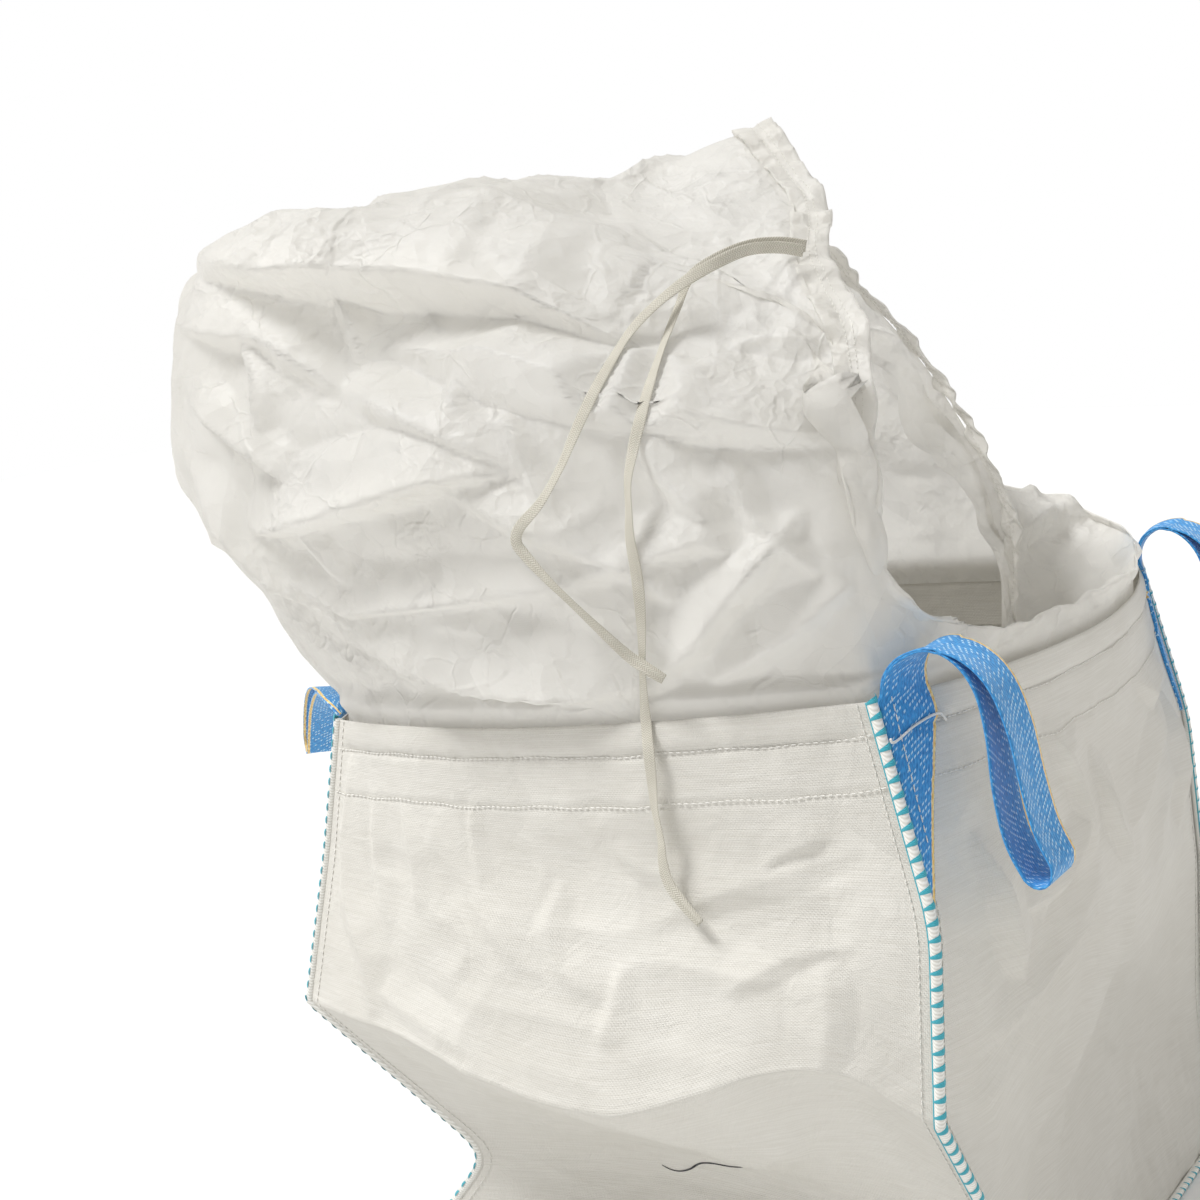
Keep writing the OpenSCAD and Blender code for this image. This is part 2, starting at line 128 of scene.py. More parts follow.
# A loop's shape seen along its webbing: out from the panel and up from the hem, millimetres.
HANGING_SPINE = [
    (0, 0), (2, 24), (16, 44), (42, 54), (72, 44),
    (96, 16), (110, -30), (118, -85), (130, -135), (148, -170),
]
REACHING_SPINE = [
    (0, 0), (9, 9), (29, 13), (62, 13), (98, 7),
    (138, -5), (182, -23), (225, -48), (262, -78), (294, -110),
]
LOOP_HALF_GAP = [1.2, 1.2, 1.2, 1.2, 5, 9, 12, 14, 15, 15]
# Each loop's side, whether it is at the side's start, its spine, the way it falls, and the
# direction and two distances from its root between which the webbing starts to swing.
LOOPS = {
    "front_left": (LEFT, False, REACHING_SPINE, (-0.75, 0.66, 0), (-0.75, 0.66, 0), (48, 76)),
    "front_right": (RIGHT, True, HANGING_SPINE, (1, 0, 0), (0.97, 0, 0.243), (47, 60)),
    "back_right": (RIGHT, False, HANGING_SPINE, (1, 0, 0), (0.97, 0, 0.243), (47, 60)),
    "back_left": (LEFT, True, REACHING_SPINE, (-1, 0, 0), (-1, 0, 0), (50, 72)),
}

# The tie tape's two ends from where they leave the skirt's hem, in millimetres.
LONG_ROUTE = [
    (230, -294, 1318), (210, -314, 1324), (184, -334, 1324), (160, -362, 1314),
    (132, -376, 1296), (120, -384, 1268), (112, -404, 1234), (120, -452, 1196),
    (126, -490, 1158), (122, -502, 1128), (118, -510, 1098), (120, -516, 1068),
    (120, -518, 1038), (124, -518, 1004), (124, -516, 972), (118, -508, 936),
    (112, -502, 902), (104, -492, 866), (100, -486, 834), (108, -498, 804),
    (110, -500, 772), (112, -502, 740), (118, -504, 706), (118, -504, 682),
    (124, -506, 660), (142, -508, 638), (162, -508, 618),
]
SHORT_ROUTE = [
    (240, -320, 1314), (220, -338, 1320), (194, -362, 1320), (166, -386, 1308),
    (128, -390, 1290), (98, -402, 1268), (78, -420, 1244), (74, -462, 1212),
    (72, -498, 1182), (64, -522, 1148), (50, -534, 1114), (30, -546, 1080),
    (2, -548, 1054), (-4, -548, 1038), (4, -546, 1024), (28, -544, 998),
    (52, -540, 974), (78, -530, 944), (104, -516, 912), (124, -512, 898),
    (140, -506, 886),
]


# ---------------------------------------------------------------- camera
def make_camera():
    """The camera looks down a little at the front right corner and leans to its left."""
    azimuth, elevation, roll = (math.radians(x) for x in (34, 11, -5))
    forward = np.array([
        -math.sin(azimuth) * math.cos(elevation),
        math.cos(azimuth) * math.cos(elevation),
        -math.sin(elevation),
    ])
    level_right = np.array([math.cos(azimuth), math.sin(azimuth), 0])
    level_up = np.cross(level_right, forward)
    right = level_right * math.cos(roll) + level_up * math.sin(roll)
    up = level_up * math.cos(roll) - level_right * math.sin(roll)
    data = bpy.data.cameras.new("camera")
    data.lens = 60
    data.sensor_width = 36
    data.clip_end = 50
    camera = bpy.data.objects.new("camera", data)
    place = (1.236, -2.238, 1.375)
    rows = [(right[k], up[k], -forward[k], place[k]) for k in range(3)] + [(0, 0, 0, 1)]
    camera.matrix_world = Matrix(rows)
    bpy.context.scene.collection.objects.link(camera)
    bpy.context.scene.camera = camera


make_camera()


# ---------------------------------------------------------------- vectors and curves
def unit(v):
    return v / np.maximum(np.linalg.norm(v, axis=-1, keepdims=True), 1e-9)


def mix(a, b, t):
    return a * (1 - t) + b * t


def smooth_step(low, high, x):
    t = np.clip((x - low) / (high - low), 0, 1)
    return t * t * (3 - 2 * t)


def through(points, t, closed=False):
    """Places on the smooth curve through the points; t counts points and may be fractional."""
    points, t = np.asarray(points, float), np.asarray(t, float)
    count = len(points)
    k = np.floor(t).astype(int) if closed else np.clip(np.floor(t).astype(int), 0, count - 2)
    f = (t - k)[..., None]
    near = [k - 1, k, k + 1, k + 2]
    near = [n % count for n in near] if closed else [np.clip(n, 0, count - 1) for n in near]
    a, b, c, d = (points[n] for n in near)
    return 0.5 * (
        2 * b + (c - a) * f + (2 * a - 5 * b + 4 * c - d) * f ** 2 + (3 * b - a - 3 * c + d) * f ** 3
    )


def round_average(ring, reach):
    """Each direction in a closed ring averaged with its neighbours."""
    return unit(sum(np.roll(ring, k, axis=0) for k in range(-reach, reach + 1)))


def lattice_noise(points, size, seed):
    """Smooth noise from -1 to 1 that varies over about size metres."""
    p = points / size + 100.0
    cell = np.floor(p).astype(np.int64)
    f = p - cell
    f = f * f * (3 - 2 * f)
    total = np.zeros(points.shape[:-1])
    for corner in range(8):
        step = np.array([corner & 1, corner >> 1 & 1, corner >> 2 & 1])
        i, j, k = np.moveaxis(cell + step, -1, 0)
        h = (i * 73856093) ^ (j * 19349663) ^ (k * 83492791) ^ (seed * 2654435761)
        h = (h ^ (h >> 13)) * 1274126177 & 0xFFFFFFFF
        value = ((h ^ (h >> 16)) & 0xFFFF) / 32767.5 - 1
        total += value * np.prod(np.where(step, f, 1 - f), axis=-1)
    return total


def creases(points, size, seed):
    """Noise that meets in sharp crests, 1 on them, the crests running mostly level."""
    level = points * np.array([1, 1, 1.7])
    wave = lattice_noise(level, size, seed) + 0.5 * lattice_noise(level, size / 2, seed + 1)
    return 1 - 1.3 * np.abs(wave)


# ---------------------------------------------------------------- the bag's outline
def level_line(side, s, level):
    corners, bow = LEVELS[level]
    a, b = np.array(corners[side], float), np.array(corners[(side + 1) % 4], float)
    out = unit(np.array([b[1] - a[1], a[0] - b[0], 0]))
    s = np.asarray(s, float)[..., None]
    return (mix(a, b, s) + out * bow[side] * 4 * s * (1 - s)) * MM


def panel_point(side, s, h):
    """On a panel's outside, s along the side from its first corner and h levels up."""
    s, h = np.broadcast_arrays(np.asarray(s, float), np.asarray(h, float))
    lines = np.stack([level_line(side, s, k) for k in range(TOP + 1)])
    low = np.clip(np.floor(h).astype(int), 0, TOP - 1)
    pick = lambda k: np.take_along_axis(lines, k[None, ..., None], axis=0)[0]
    return mix(pick(low), pick(low + 1), (h - low)[..., None])


def eased_panel(side, s, h):
    """The same with the folds above and below the sharp crease eased round."""
    ends = np.minimum(np.minimum(np.abs(h), np.abs(TOP - h)), np.abs(h - 2))
    reach = np.minimum(FOLD_EASE, ends)
    samples = [panel_point(side, s, h + reach * k) for k in (-1, -0.5, 0, 0.5, 1)]
    return sum(w * p for w, p in zip((0.12, 0.23, 0.3, 0.23, 0.12), samples))


def side_length(side, h):
    return float(np.linalg.norm(panel_point(side, 1, h) - panel_point(side, 0, h)))


def grid_normals(grid, closed=False):
    across = np.gradient(grid, axis=1)
    if closed:
        across = np.roll(grid, -1, 1) - np.roll(grid, 1, 1)
    return unit(np.cross(across, np.gradient(grid, axis=0)))


# ---------------------------------------------------------------- slack cloth
def pair_pull(p, rest, rows, columns, closed, strength, only_push):
    """Moves each point towards its rest distance from the one rows down and columns across."""
    height, width = p.shape[:2]
    other = np.roll(p, (-rows, -columns), (0, 1))
    gap = other - p
    length = np.maximum(np.linalg.norm(gap, axis=-1), 1e-9)
    pull = 1 - rest / length
    if only_push:
        pull = np.minimum(pull, 0)
    if rows:
        pull[height - rows:] = 0
    if columns and not closed:
        if columns > 0:
            pull[:, width - columns:] = 0
        else:
            pull[:, :-columns] = 0
    move = gap * (pull * strength * 0.5)[..., None]
    p += 0.5 * (move - np.roll(move, (rows, columns), (0, 1)))


def relax(target, slack_across, slack_up, hold, stiff, rounds, closed, start):
    """Cloth a little longer than the surface that it is held to, so that it buckles."""
    p = start.copy()
    ties = []
    for rows, columns, strength, push in (
        (0, 1, 1, False), (1, 0, 1, False), (1, 1, 0.5, False), (1, -1, 0.5, False),
        (0, 2, stiff, True), (2, 0, stiff, True),
    ):
        other = np.roll(target, (-rows, -columns), (0, 1))
        gap = np.linalg.norm(other - target, axis=-1)
        share = columns ** 2 / (rows ** 2 + columns ** 2)
        slack = slack_across * share + slack_up * (1 - share)
        ties.append((gap * (1 + slack), rows, columns, strength, push))
    keep = hold[..., None]
    for _ in range(rounds):
        for rest, rows, columns, strength, push in ties:
            pair_pull(p, rest, rows, columns, closed, strength, push)
        p += keep * (target - p)
    return p


def resample(grid, rows, columns, closed):
    """The grid again with other numbers of rows and columns, the values in between mixed."""
    old_rows, old_columns = grid.shape[:2]
    r = np.linspace(0, old_rows - 1, rows)
    if closed:
        c = np.arange(columns) * old_columns / columns
    else:
        c = np.linspace(0, old_columns - 1, columns)
    r0 = np.minimum(r.astype(int), old_rows - 2)
    c0 = c.astype(int) if closed else np.minimum(c.astype(int), old_columns - 2)
    c1 = (c0 + 1) % old_columns
    fr = (r - r0)[:, None, None] if grid.ndim == 3 else (r - r0)[:, None]
    fc = (c - c0)[None, :, None] if grid.ndim == 3 else (c - c0)[None, :]
    low = mix(grid[r0][:, c0], grid[r0][:, c1], fc)
    high = mix(grid[r0 + 1][:, c0], grid[r0 + 1][:, c1], fc)
    return mix(low, high, fr)


def buckle(target, slack_across, slack_up, hold, stiff, stages, closed, seed, kick):
    """Buckles the cloth from its coarse folds down to its fine ones."""
    rows, columns = target.shape[:2]
    moved = None
    for divide, rounds, kick_share in stages:
        size = (max(rows // divide, 8), max(columns // divide // 2 * 2, 8))
        if divide == 1:
            size = (rows, columns)
        there = resample(target, *size, closed)
        fields = [resample(x, *size, closed) for x in (slack_across, slack_up, hold)]
        normal = grid_normals(there, closed)
        wave = lattice_noise(there, 0.035 * divide ** 0.8, seed + divide)
        start = there + normal * (wave * kick * kick_share)[..., None]
        if moved is not None:
            start += resample(moved, *size, closed)
        moved = relax(there, *fields, stiff, rounds, closed, start) - there
    return target + moved


def ridge_lift(grid, ridges, flat_axes, facing, closed=False):
    """How far long sharp folds stand out. Each is (points in the plane of flat_axes, height, and
    how far it slopes on its upper and its lower side), all in metres."""
    normal = grid_normals(grid, closed)
    weight = smooth_step(0.0, 0.45, normal @ np.array(facing, float))
    flat = grid[..., list(flat_axes)]
    lift = np.zeros(grid.shape[:2])
    for points, height, above, below in ridges:
        best = np.full(lift.shape, np.inf)
        signed = np.zeros(lift.shape)
        taper = np.zeros(lift.shape)
        line = np.array(points, float)
        runs = np.linalg.norm(np.diff(line, axis=0), axis=1)
        total = runs.sum()
        before = 0.0
        for a, b, run in zip(line[:-1], line[1:], runs):
            along = (b - a) / run
            t = np.clip((flat - a) @ along, 0, run)
            gap = flat - a - t[..., None] * along
            far = np.linalg.norm(gap, axis=-1)
            side = along[0] * gap[..., 1] - along[1] * gap[..., 0]
            nearer = far < best
            best = np.where(nearer, far, best)
            signed = np.where(nearer, np.sign(side) * far, signed)
            taper = np.where(nearer, (before + t) / total, taper)
            before += run
        ends = np.clip(np.minimum(taper, 1 - taper) / 0.3, 0, 1) ** 0.8
        width = np.where(signed > 0, above, below) * (0.4 + 0.6 * ends)
        tent = np.clip(1 - best / width, 0, None)
        lift = np.maximum(lift, height * tent * ends)
    return normal * (lift * weight)[..., None]


def give_way(cloth, normals, lines, clearance):
    """Presses the cloth back wherever it would come through a line that lies on it."""
    samples = np.concatenate(lines)
    low, high = samples.min(axis=0) - 0.05, samples.max(axis=0) + 0.05
    near = np.all((cloth > low) & (cloth < high), axis=-1)
    points, facing = cloth[near], normals[near]
    outward = np.array([facing[np.argmin(((points - x) ** 2).sum(axis=1))] for x in samples])
    for start in range(0, len(points), 4000):
        part = points[start:start + 4000]
        gap = part[:, None] - samples[None]
        height = (gap * outward[None]).sum(axis=-1)
        aside = np.sqrt(np.maximum((gap ** 2).sum(axis=-1) - height ** 2, 0))
        excess = height + clearance - 0.9 * np.maximum(aside - 0.010, 0)
        excess[np.abs(height) > 0.06] = -1
        worst = excess.argmax(axis=1)
        depth = np.maximum(excess[np.arange(len(part)), worst], 0)
        part -= outward[worst] * depth[:, None]
    moved = cloth.copy()
    moved[near] = points
    return moved


# ---------------------------------------------------------------- meshes
def add_object(name, mesh, material=None):
    piece = bpy.data.objects.new(name, mesh)
    bpy.context.scene.collection.objects.link(piece)
    if material:
        mesh.materials.append(material)
    return piece


def grid_faces(rows, columns, closed=False):
    spans = columns if closed else columns - 1
    r, c = np.meshgrid(np.arange(rows - 1), np.arange(spans), indexing="ij")
    r, c = r.ravel(), c.ravel()
    after = (c + 1) % columns
    return np.stack([r * columns + c, r * columns + after,
                     (r + 1) * columns + after, (r + 1) * columns + c], axis=1)


def face_corners(rows, spans, place):
    """What place gives for the row and column at each corner of each face of a grid."""
    r, c = np.meshgrid(np.arange(rows - 1), np.arange(spans), indexing="ij")
    r, c = r.ravel(), c.ravel()
    turns = ((0, 0), (0, 1), (1, 1), (1, 0))
    return np.stack([place(r + down, c + along) for down, along in turns], axis=1)


def mesh_of(name, points, faces, corner_uv):
    mesh = bpy.data.meshes.new(name)
    mesh.from_pydata(np.asarray(points).reshape(-1, 3).tolist(), [], faces.tolist())
    layer = mesh.uv_layers.new(name="cloth")
    layer.data.foreach_set("uv", np.asarray(corner_uv, np.float32).ravel())
    mesh.polygons.foreach_set("use_smooth", np.ones(len(mesh.polygons), bool))
    mesh.update()
    return mesh


def bake(piece):
    """Gives the piece the mesh that its modifiers make of it."""
    made = bpy.data.meshes.new_from_object(
        piece.evaluated_get(bpy.context.evaluated_depsgraph_get()))
    piece.modifiers.clear()
    piece.data = made
    return made


def cloth_uv(grid, closed=False):
    """Distances across and up the cloth in metres, for each corner of each face."""
    rows, columns = grid.shape[:2]
    middle = grid[rows // 2]
    steps = np.linalg.norm(np.diff(middle, axis=0), axis=1)
    u = np.concatenate([[0], np.cumsum(steps)])
    if closed:
        u = np.append(u, u[-1] + np.linalg.norm(middle[0] - middle[-1]))
    rises = np.linalg.norm(np.diff(grid, axis=0), axis=-1).mean(axis=1)
    v = np.concatenate([[0], np.cumsum(rises)])
    spans = columns if closed else columns - 1
    return face_corners(rows, spans, lambda r, c: np.stack([u[c], v[r]], axis=1))


def cloth_piece(name, grid, material, wall, closed=False, offset=-1):
    rows, columns = grid.shape[:2]
    mesh = mesh_of(name, grid, grid_faces(rows, columns, closed), cloth_uv(grid, closed))
    piece = add_object(name, mesh, material)
    if wall:
        thicken = piece.modifiers.new("wall", "SOLIDIFY")
        thicken.thickness = wall
        thicken.offset = offset
    return piece


def swept(name, centres, across, out, half_width, half_height, sides, material, squareness=1.0):
    """An oval or, with squareness below 1, a flatter-sided bar along its centres, ends closed."""
    count = len(centres)
    angles = np.arange(sides) * 2 * math.pi / sides
    bend = lambda x: np.sign(x) * np.abs(x) ** squareness
    x, y = bend(np.cos(angles)), bend(np.sin(angles))
    wide = np.broadcast_to(half_width, (count,))[:, None, None]
    high = np.broadcast_to(half_height, (count,))[:, None, None]
    rings = (
        centres[:, None] + across[:, None] * x[None, :, None] * wide
        + out[:, None] * y[None, :, None] * high
    )
    faces = grid_faces(count, sides, closed=True)
    girth = np.concatenate([[0], np.cumsum(np.hypot(
        np.diff(np.append(x, x[0])) * wide.mean(), np.diff(np.append(y, y[0])) * high.mean()))])
    runs = np.concatenate([[0], np.cumsum(np.linalg.norm(np.diff(centres, axis=0), axis=1))])
    uv = face_corners(count, sides, lambda r, c: np.stack([girth[c], runs[r]], axis=1))
    start, end = list(range(sides))[::-1], [(count - 1) * sides + k for k in range(sides)]
    mesh = bpy.data.meshes.new(name)
    mesh.from_pydata(rings.reshape(-1, 3).tolist(), [], faces.tolist() + [start, end])
    layer = mesh.uv_layers.new(name="cloth")
    caps = np.zeros((2 * sides, 2))
    layer.data.foreach_set(
        "uv", np.concatenate([uv.reshape(-1, 2), caps]).astype(np.float32).ravel())
    mesh.polygons.foreach_set("use_smooth", np.ones(len(mesh.polygons), bool))
    mesh.update()
    return add_object(name, mesh, material)


# ---------------------------------------------------------------- node trees
class Signal:
    """A node's output; arithmetic on it adds Math nodes to its tree."""

    def __init__(self, tree, socket):
        self.tree = tree
        self.socket = socket

    def math(self, operation, *others):
        values = dict(enumerate((self, *others)))
        return self.tree.node("ShaderNodeMath", {"operation": operation}, values)[0]

    def __add__(self, other):
        return self.math("ADD", other)

    __radd__ = __add__

    def __sub__(self, other):
        return self.math("SUBTRACT", other)

    def __rsub__(self, other):
        return (self * -1) + other

    def __mul__(self, other):
        return self.math("MULTIPLY", other)

    __rmul__ = __mul__

    def __truediv__(self, other):
        return self.math("DIVIDE", other)

    def __pow__(self, other):
        return self.math("POWER", other)

    def __gt__(self, other):
        return self.math("GREATER_THAN", other)

    def __lt__(self, other):
        return self.math("LESS_THAN", other)

    def __abs__(self):
        return self.math("ABSOLUTE")

    def fract(self):
        return self.math("FRACT")

    def floor(self):
        return self.math("FLOOR")

    def sin(self):
        return self.math("SINE")

    def cos(self):
        return self.math("COSINE")

    def step(self, low, high):
        """0 below low and 1 above high, smooth in between."""
        return self.tree.node(
            "ShaderNodeMapRange", {"interpolation_type": "SMOOTHSTEP"},
            {"Value": self, "From Min": low, "From Max": high})[0]


class Tree:
    """Makes nodes: a type, its settings, then the values or links of its sockets."""

    def __init__(self, tree):
        self.tree = tree

    def node(self, kind, settings=None, inputs=None):
        made = self.tree.nodes.new(kind)
        for name, value in (settings or {}).items():
            setattr(made, name, value)
        for key, value in (inputs or {}).items():
            socket = made.inputs[key]
            if isinstance(value, Signal):
                self.tree.links.new(value.socket, socket)
            else:
                socket.default_value = value
        return [Signal(self, output) for output in made.outputs]

    def mix_colour(self, factor, a, b):
        colour = lambda c: c if isinstance(c, Signal) else (*c, 1.0)
        return self.node("ShaderNodeMix", {"data_type": "RGBA"},
                         {0: factor, 6: colour(a), 7: colour(b)})[2]

    def noise(self, place, scale, detail=3.0, roughness=0.5, distortion=0.0):
        return self.node("ShaderNodeTexNoise", {}, {
            "Vector": place, "Scale": scale, "Detail": detail,
            "Roughness": roughness, "Distortion": distortion})[0]


def new_material(name):
    material = bpy.data.materials.new(name)
    material.use_nodes = True
    material.node_tree.nodes.clear()
    return material, Tree(material.node_tree)


def cloth_place(tree):
    """Distances across and up the cloth, in metres, and the place in the bag."""
    uv = tree.node("ShaderNodeUVMap", {"uv_map": "cloth"})[0]
    parts = tree.node("ShaderNodeSeparateXYZ", {}, {0: uv})
    place = tree.node("ShaderNodeTexCoord")[3]
    return parts[0], parts[1], place


def bumped(tree, height, distance, strength=1.0, normal=None):
    inputs = {"Height": height, "Distance": distance, "Strength": strength}
    if normal:
        inputs["Normal"] = normal
    return tree.node("ShaderNodeBump", {}, inputs)[0]


def finish_material(tree, colour, roughness, normal, translucent=0.0, sheen=0.0, specular=0.5):
    inputs = {"Base Color": colour, "Roughness": roughness, "Normal": normal,
              "Specular IOR Level": specular, "Sheen Weight": sheen}
    surface = tree.node("ShaderNodeBsdfPrincipled", {}, inputs)[0]
    if translucent:
        behind = tree.node("ShaderNodeBsdfTranslucent", {}, {"Color": colour, "Normal": normal})[0]
        surface = tree.node("ShaderNodeMixShader", {}, {0: translucent, 1: surface, 2: behind})[0]
    tree.node("ShaderNodeOutputMaterial", {}, {"Surface": surface})


def weave_height(u, v, pitch):
    """Flat tapes that pass over and under each other, 1 on top and 0 between."""
    across, up = u / pitch, v / pitch
    over = ((across.floor() + up.floor()) * 0.5).fract() > 0.25
    rounded = lambda x: 1 - abs(x.fract() * 2 - 1) ** 2
    return over * rounded(up) + (1 - over) * rounded(across) * 0.75


def woven_fabric():
    """Heavy coated woven panel fabric with fine lines and small creases."""
    material, tree = new_material("woven_fabric")
    u, v, place = cloth_place(tree)
    weave = weave_height(u, v, 0.0023)
    stretched = tree.node("ShaderNodeCombineXYZ", {}, {0: u * 14, 1: v * 420, 2: 0.0})[0]
    streaks = tree.noise(stretched, 1.0, 2.0)
    stain = tree.noise(place, 5.0, 4.0, 0.6)
    creases = tree.noise(place, 22.0, 5.0, 0.62, 0.8)
    # The weave term paints the colour a little darker between the tapes and on the lower weft, as
    # painted shade; the streaks and stains are the cloth's own tone.
    shade = (streaks - 0.5) * 0.5 + (weave - 0.6) * 0.12 + (stain - 0.5) * 0.35 + 0.5
    colour = tree.mix_colour(shade.step(0.05, 0.95), (0.71, 0.685, 0.62), (0.885, 0.87, 0.825))
    roughness = 0.62 + (streaks - 0.5) * 0.2
    normal = bumped(tree, facet_height(tree, place, 9.0, 0.06), 0.25, 0.5)
    normal = bumped(tree, creases, 0.008, 0.4, normal)
    normal = bumped(tree, weave + streaks * 0.8, 0.0006, 0.6, normal)
    finish_material(tree, colour, roughness, normal, translucent=0.12, specular=0.35)
    return material


def facet_height(tree, place, scale, warp):
    """Flat facets, each tilted its own way."""
    shift = tree.node("ShaderNodeTexNoise", {}, {
        "Vector": place, "Scale": scale * 0.8, "Detail": 2.0, "Roughness": 0.5})[1]
    pushed = tree.node("ShaderNodeVectorMath", {"operation": "SCALE"}, {0: shift, 3: warp})[0]
    moved = tree.node("ShaderNodeVectorMath", {"operation": "ADD"}, {0: place, 1: pushed})[0]
    _, colour, centre = tree.node("ShaderNodeTexVoronoi", {"feature": "F1"}, {
        "Vector": moved, "Scale": scale, "Detail": 0.0, "Randomness": 1.0})[:3]
    arm = tree.node("ShaderNodeVectorMath", {"operation": "SUBTRACT"}, {0: moved, 1: centre})[0]
    lean = tree.node("ShaderNodeVectorMath", {"operation": "SUBTRACT"}, {
        0: colour, 1: (0.5, 0.5, 0.5)})[0]
    return tree.node("ShaderNodeVectorMath", {"operation": "DOT_PRODUCT"}, {0: arm, 1: lean})[1]


def crease_lines(tree, place, scale, warp):
    """Thin raised lines where folded fabric keeps its creases."""
    shift = tree.node("ShaderNodeTexNoise", {}, {
        "Vector": place, "Scale": scale * 0.6, "Detail": 3.0, "Roughness": 0.6})[1]
    pushed = tree.node("ShaderNodeVectorMath", {"operation": "SCALE"}, {0: shift, 3: warp})[0]
    moved = tree.node("ShaderNodeVectorMath", {"operation": "ADD"}, {0: place, 1: pushed})[0]
    apart = tree.node("ShaderNodeTexVoronoi", {"feature": "DISTANCE_TO_EDGE"}, {
        "Vector": moved, "Scale": scale, "Randomness": 1.0})[0]
    kept = tree.noise(place, scale * 0.7, 2.0).step(0.45, 0.60)
    return (1 - apart.step(0.0, 0.05)) * kept


def crumpled_height(tree, place, scale, warp):
    """Soft cells that meet in sharp creases."""
    shift = tree.node("ShaderNodeTexNoise", {}, {
        "Vector": place, "Scale": scale * 0.9, "Detail": 2.0, "Roughness": 0.5})[1]
    pushed = tree.node("ShaderNodeVectorMath", {"operation": "SCALE"}, {0: shift, 3: warp})[0]
    moved = tree.node("ShaderNodeVectorMath", {"operation": "ADD"}, {0: place, 1: pushed})[0]
    return tree.node("ShaderNodeTexVoronoi", {"feature": "F1"}, {
        "Vector": moved, "Scale": scale, "Detail": 1.0, "Roughness": 0.5, "Randomness": 1.0})[0]


def skirt_fabric():
    """Thin crinkled fabric that light shines through."""
    material, tree = new_material("skirt_fabric")
    u, v, place = cloth_place(tree)
    weave = weave_height(u, v, 0.0017)
    broad = crumpled_height(tree, place, 11.0, 0.06)
    fine = crumpled_height(tree, place, 34.0, 0.03)
    patch = tree.noise(place, 4.0, 3.0, 0.6).step(0.42, 0.62)
    cloud = tree.noise(place, 7.0, 3.0)
    # The small weave term paints the colour darker between the tapes, as painted shade; the cloud
    # noise is the cloth's own tone.
    shade = (cloud - 0.5) * 0.4 + (weave - 0.6) * 0.06 + 0.6
    colour = tree.mix_colour(shade.step(0.1, 1.0), (0.84, 0.825, 0.78), (0.965, 0.957, 0.935))
    facets = facet_height(tree, place, 8.0, 0.05) + facet_height(tree, place, 19.0, 0.03) * 0.8
    normal = bumped(tree, facets, 0.6, 0.5)
    normal = bumped(tree, broad, 0.014, 0.4, normal)
    lines = crease_lines(tree, place, 7.0, 0.16) + crease_lines(tree, place, 15.0, 0.09) * 0.6
    normal = bumped(tree, lines, 0.0035, 0.4, normal)
    normal = bumped(tree, fine * patch, 0.008, 0.55, normal)
    normal = bumped(tree, weave, 0.0002, 0.4, normal)
    roughness = 0.42 + (cloud - 0.5) * 0.2
    finish_material(tree, colour, roughness, normal, translucent=0.52, specular=0.45)
    return material


def loop_webbing():
    """Blue webbing with pale flecks in slanted rows and a yellow tracer near one edge."""
    material, tree = new_material("loop_webbing")
    u, v = cloth_place(tree)[:2]
    column = u / 0.0040
    row = v / 0.0072 + column.floor() * 0.37
    slant = row.fract() - 0.5 + (column.fract() - 0.5) * 0.5
    rib = 1 - abs(column.fract() * 2 - 1)
    cell = tree.node("ShaderNodeCombineXYZ", {}, {0: column.floor(), 1: row.floor(), 2: 0.0})[0]
    chance = tree.node("ShaderNodeTexWhiteNoise", {"noise_dimensions": "3D"}, {"Vector": cell})[0]
    fleck = (abs(slant) < 0.18) * (rib > 0.4) * (chance > 0.42)
    threads = tree.noise(
        tree.node("ShaderNodeCombineXYZ", {}, {0: u * 900, 1: v * 170, 2: 0.0})[0], 1.0, 2.0)
    # Partly painted shade, partly thread-to-thread tone: the thread streaks also raise the bump, and
    # they spread the blue from its lit tone to a darker one where the threads lie low. The amber
    # tracer is spread the same way.
    streaked_blue_and_shade = tree.mix_colour(threads.step(0.3, 0.7), (0.014, 0.19, 0.52), (0.055, 0.37, 0.78))
    colour = tree.mix_colour(fleck * 0.75, streaked_blue_and_shade, (0.62, 0.85, 0.97))
    tracer = abs(u - (WEBBING_WIDTH - 0.0022)) < (0.0012 + threads * 0.0014)
    amber = tree.mix_colour(threads.step(0.35, 0.65), (0.75, 0.42, 0.07), (0.95, 0.78, 0.38))
    colour = tree.mix_colour(tracer, colour, amber)
    height = rib * 0.5 + (1 - abs(slant) * 2) * 0.5 + threads * 0.3
    normal = bumped(tree, height, 0.0007, 0.8)
    finish_material(tree, colour, 0.48 + threads * 0.15, normal, sheen=0.15)
    return material


def tie_tape_fabric():
    """Warm undyed tape with a herringbone of fine cords, painted darker in the grooves between the
    cords as painted shade and varied by random wear.
    """
    material, tree = new_material("tie_tape")
    u, v, place = cloth_place(tree)
    lean = abs((u / 0.0065).fract() - 0.5) * 2
    cords = ((v / 0.0028 + lean * 1.1) * (2 * math.pi)).sin() * 0.5 + 0.5
    wear = tree.noise(place, 60.0, 3.0)
    # Painted shade: the cords' relief darkens the colour in the grooves; the wear noise is the tape's
    # own random tone.
    shade = cords * 0.6 + wear * 0.4
    colour = tree.mix_colour(shade, (0.46, 0.43, 0.35), (0.80, 0.775, 0.69))
    normal = bumped(tree, cords, 0.0007, 0.9)
    finish_material(tree, colour, 0.6, normal)
    return material


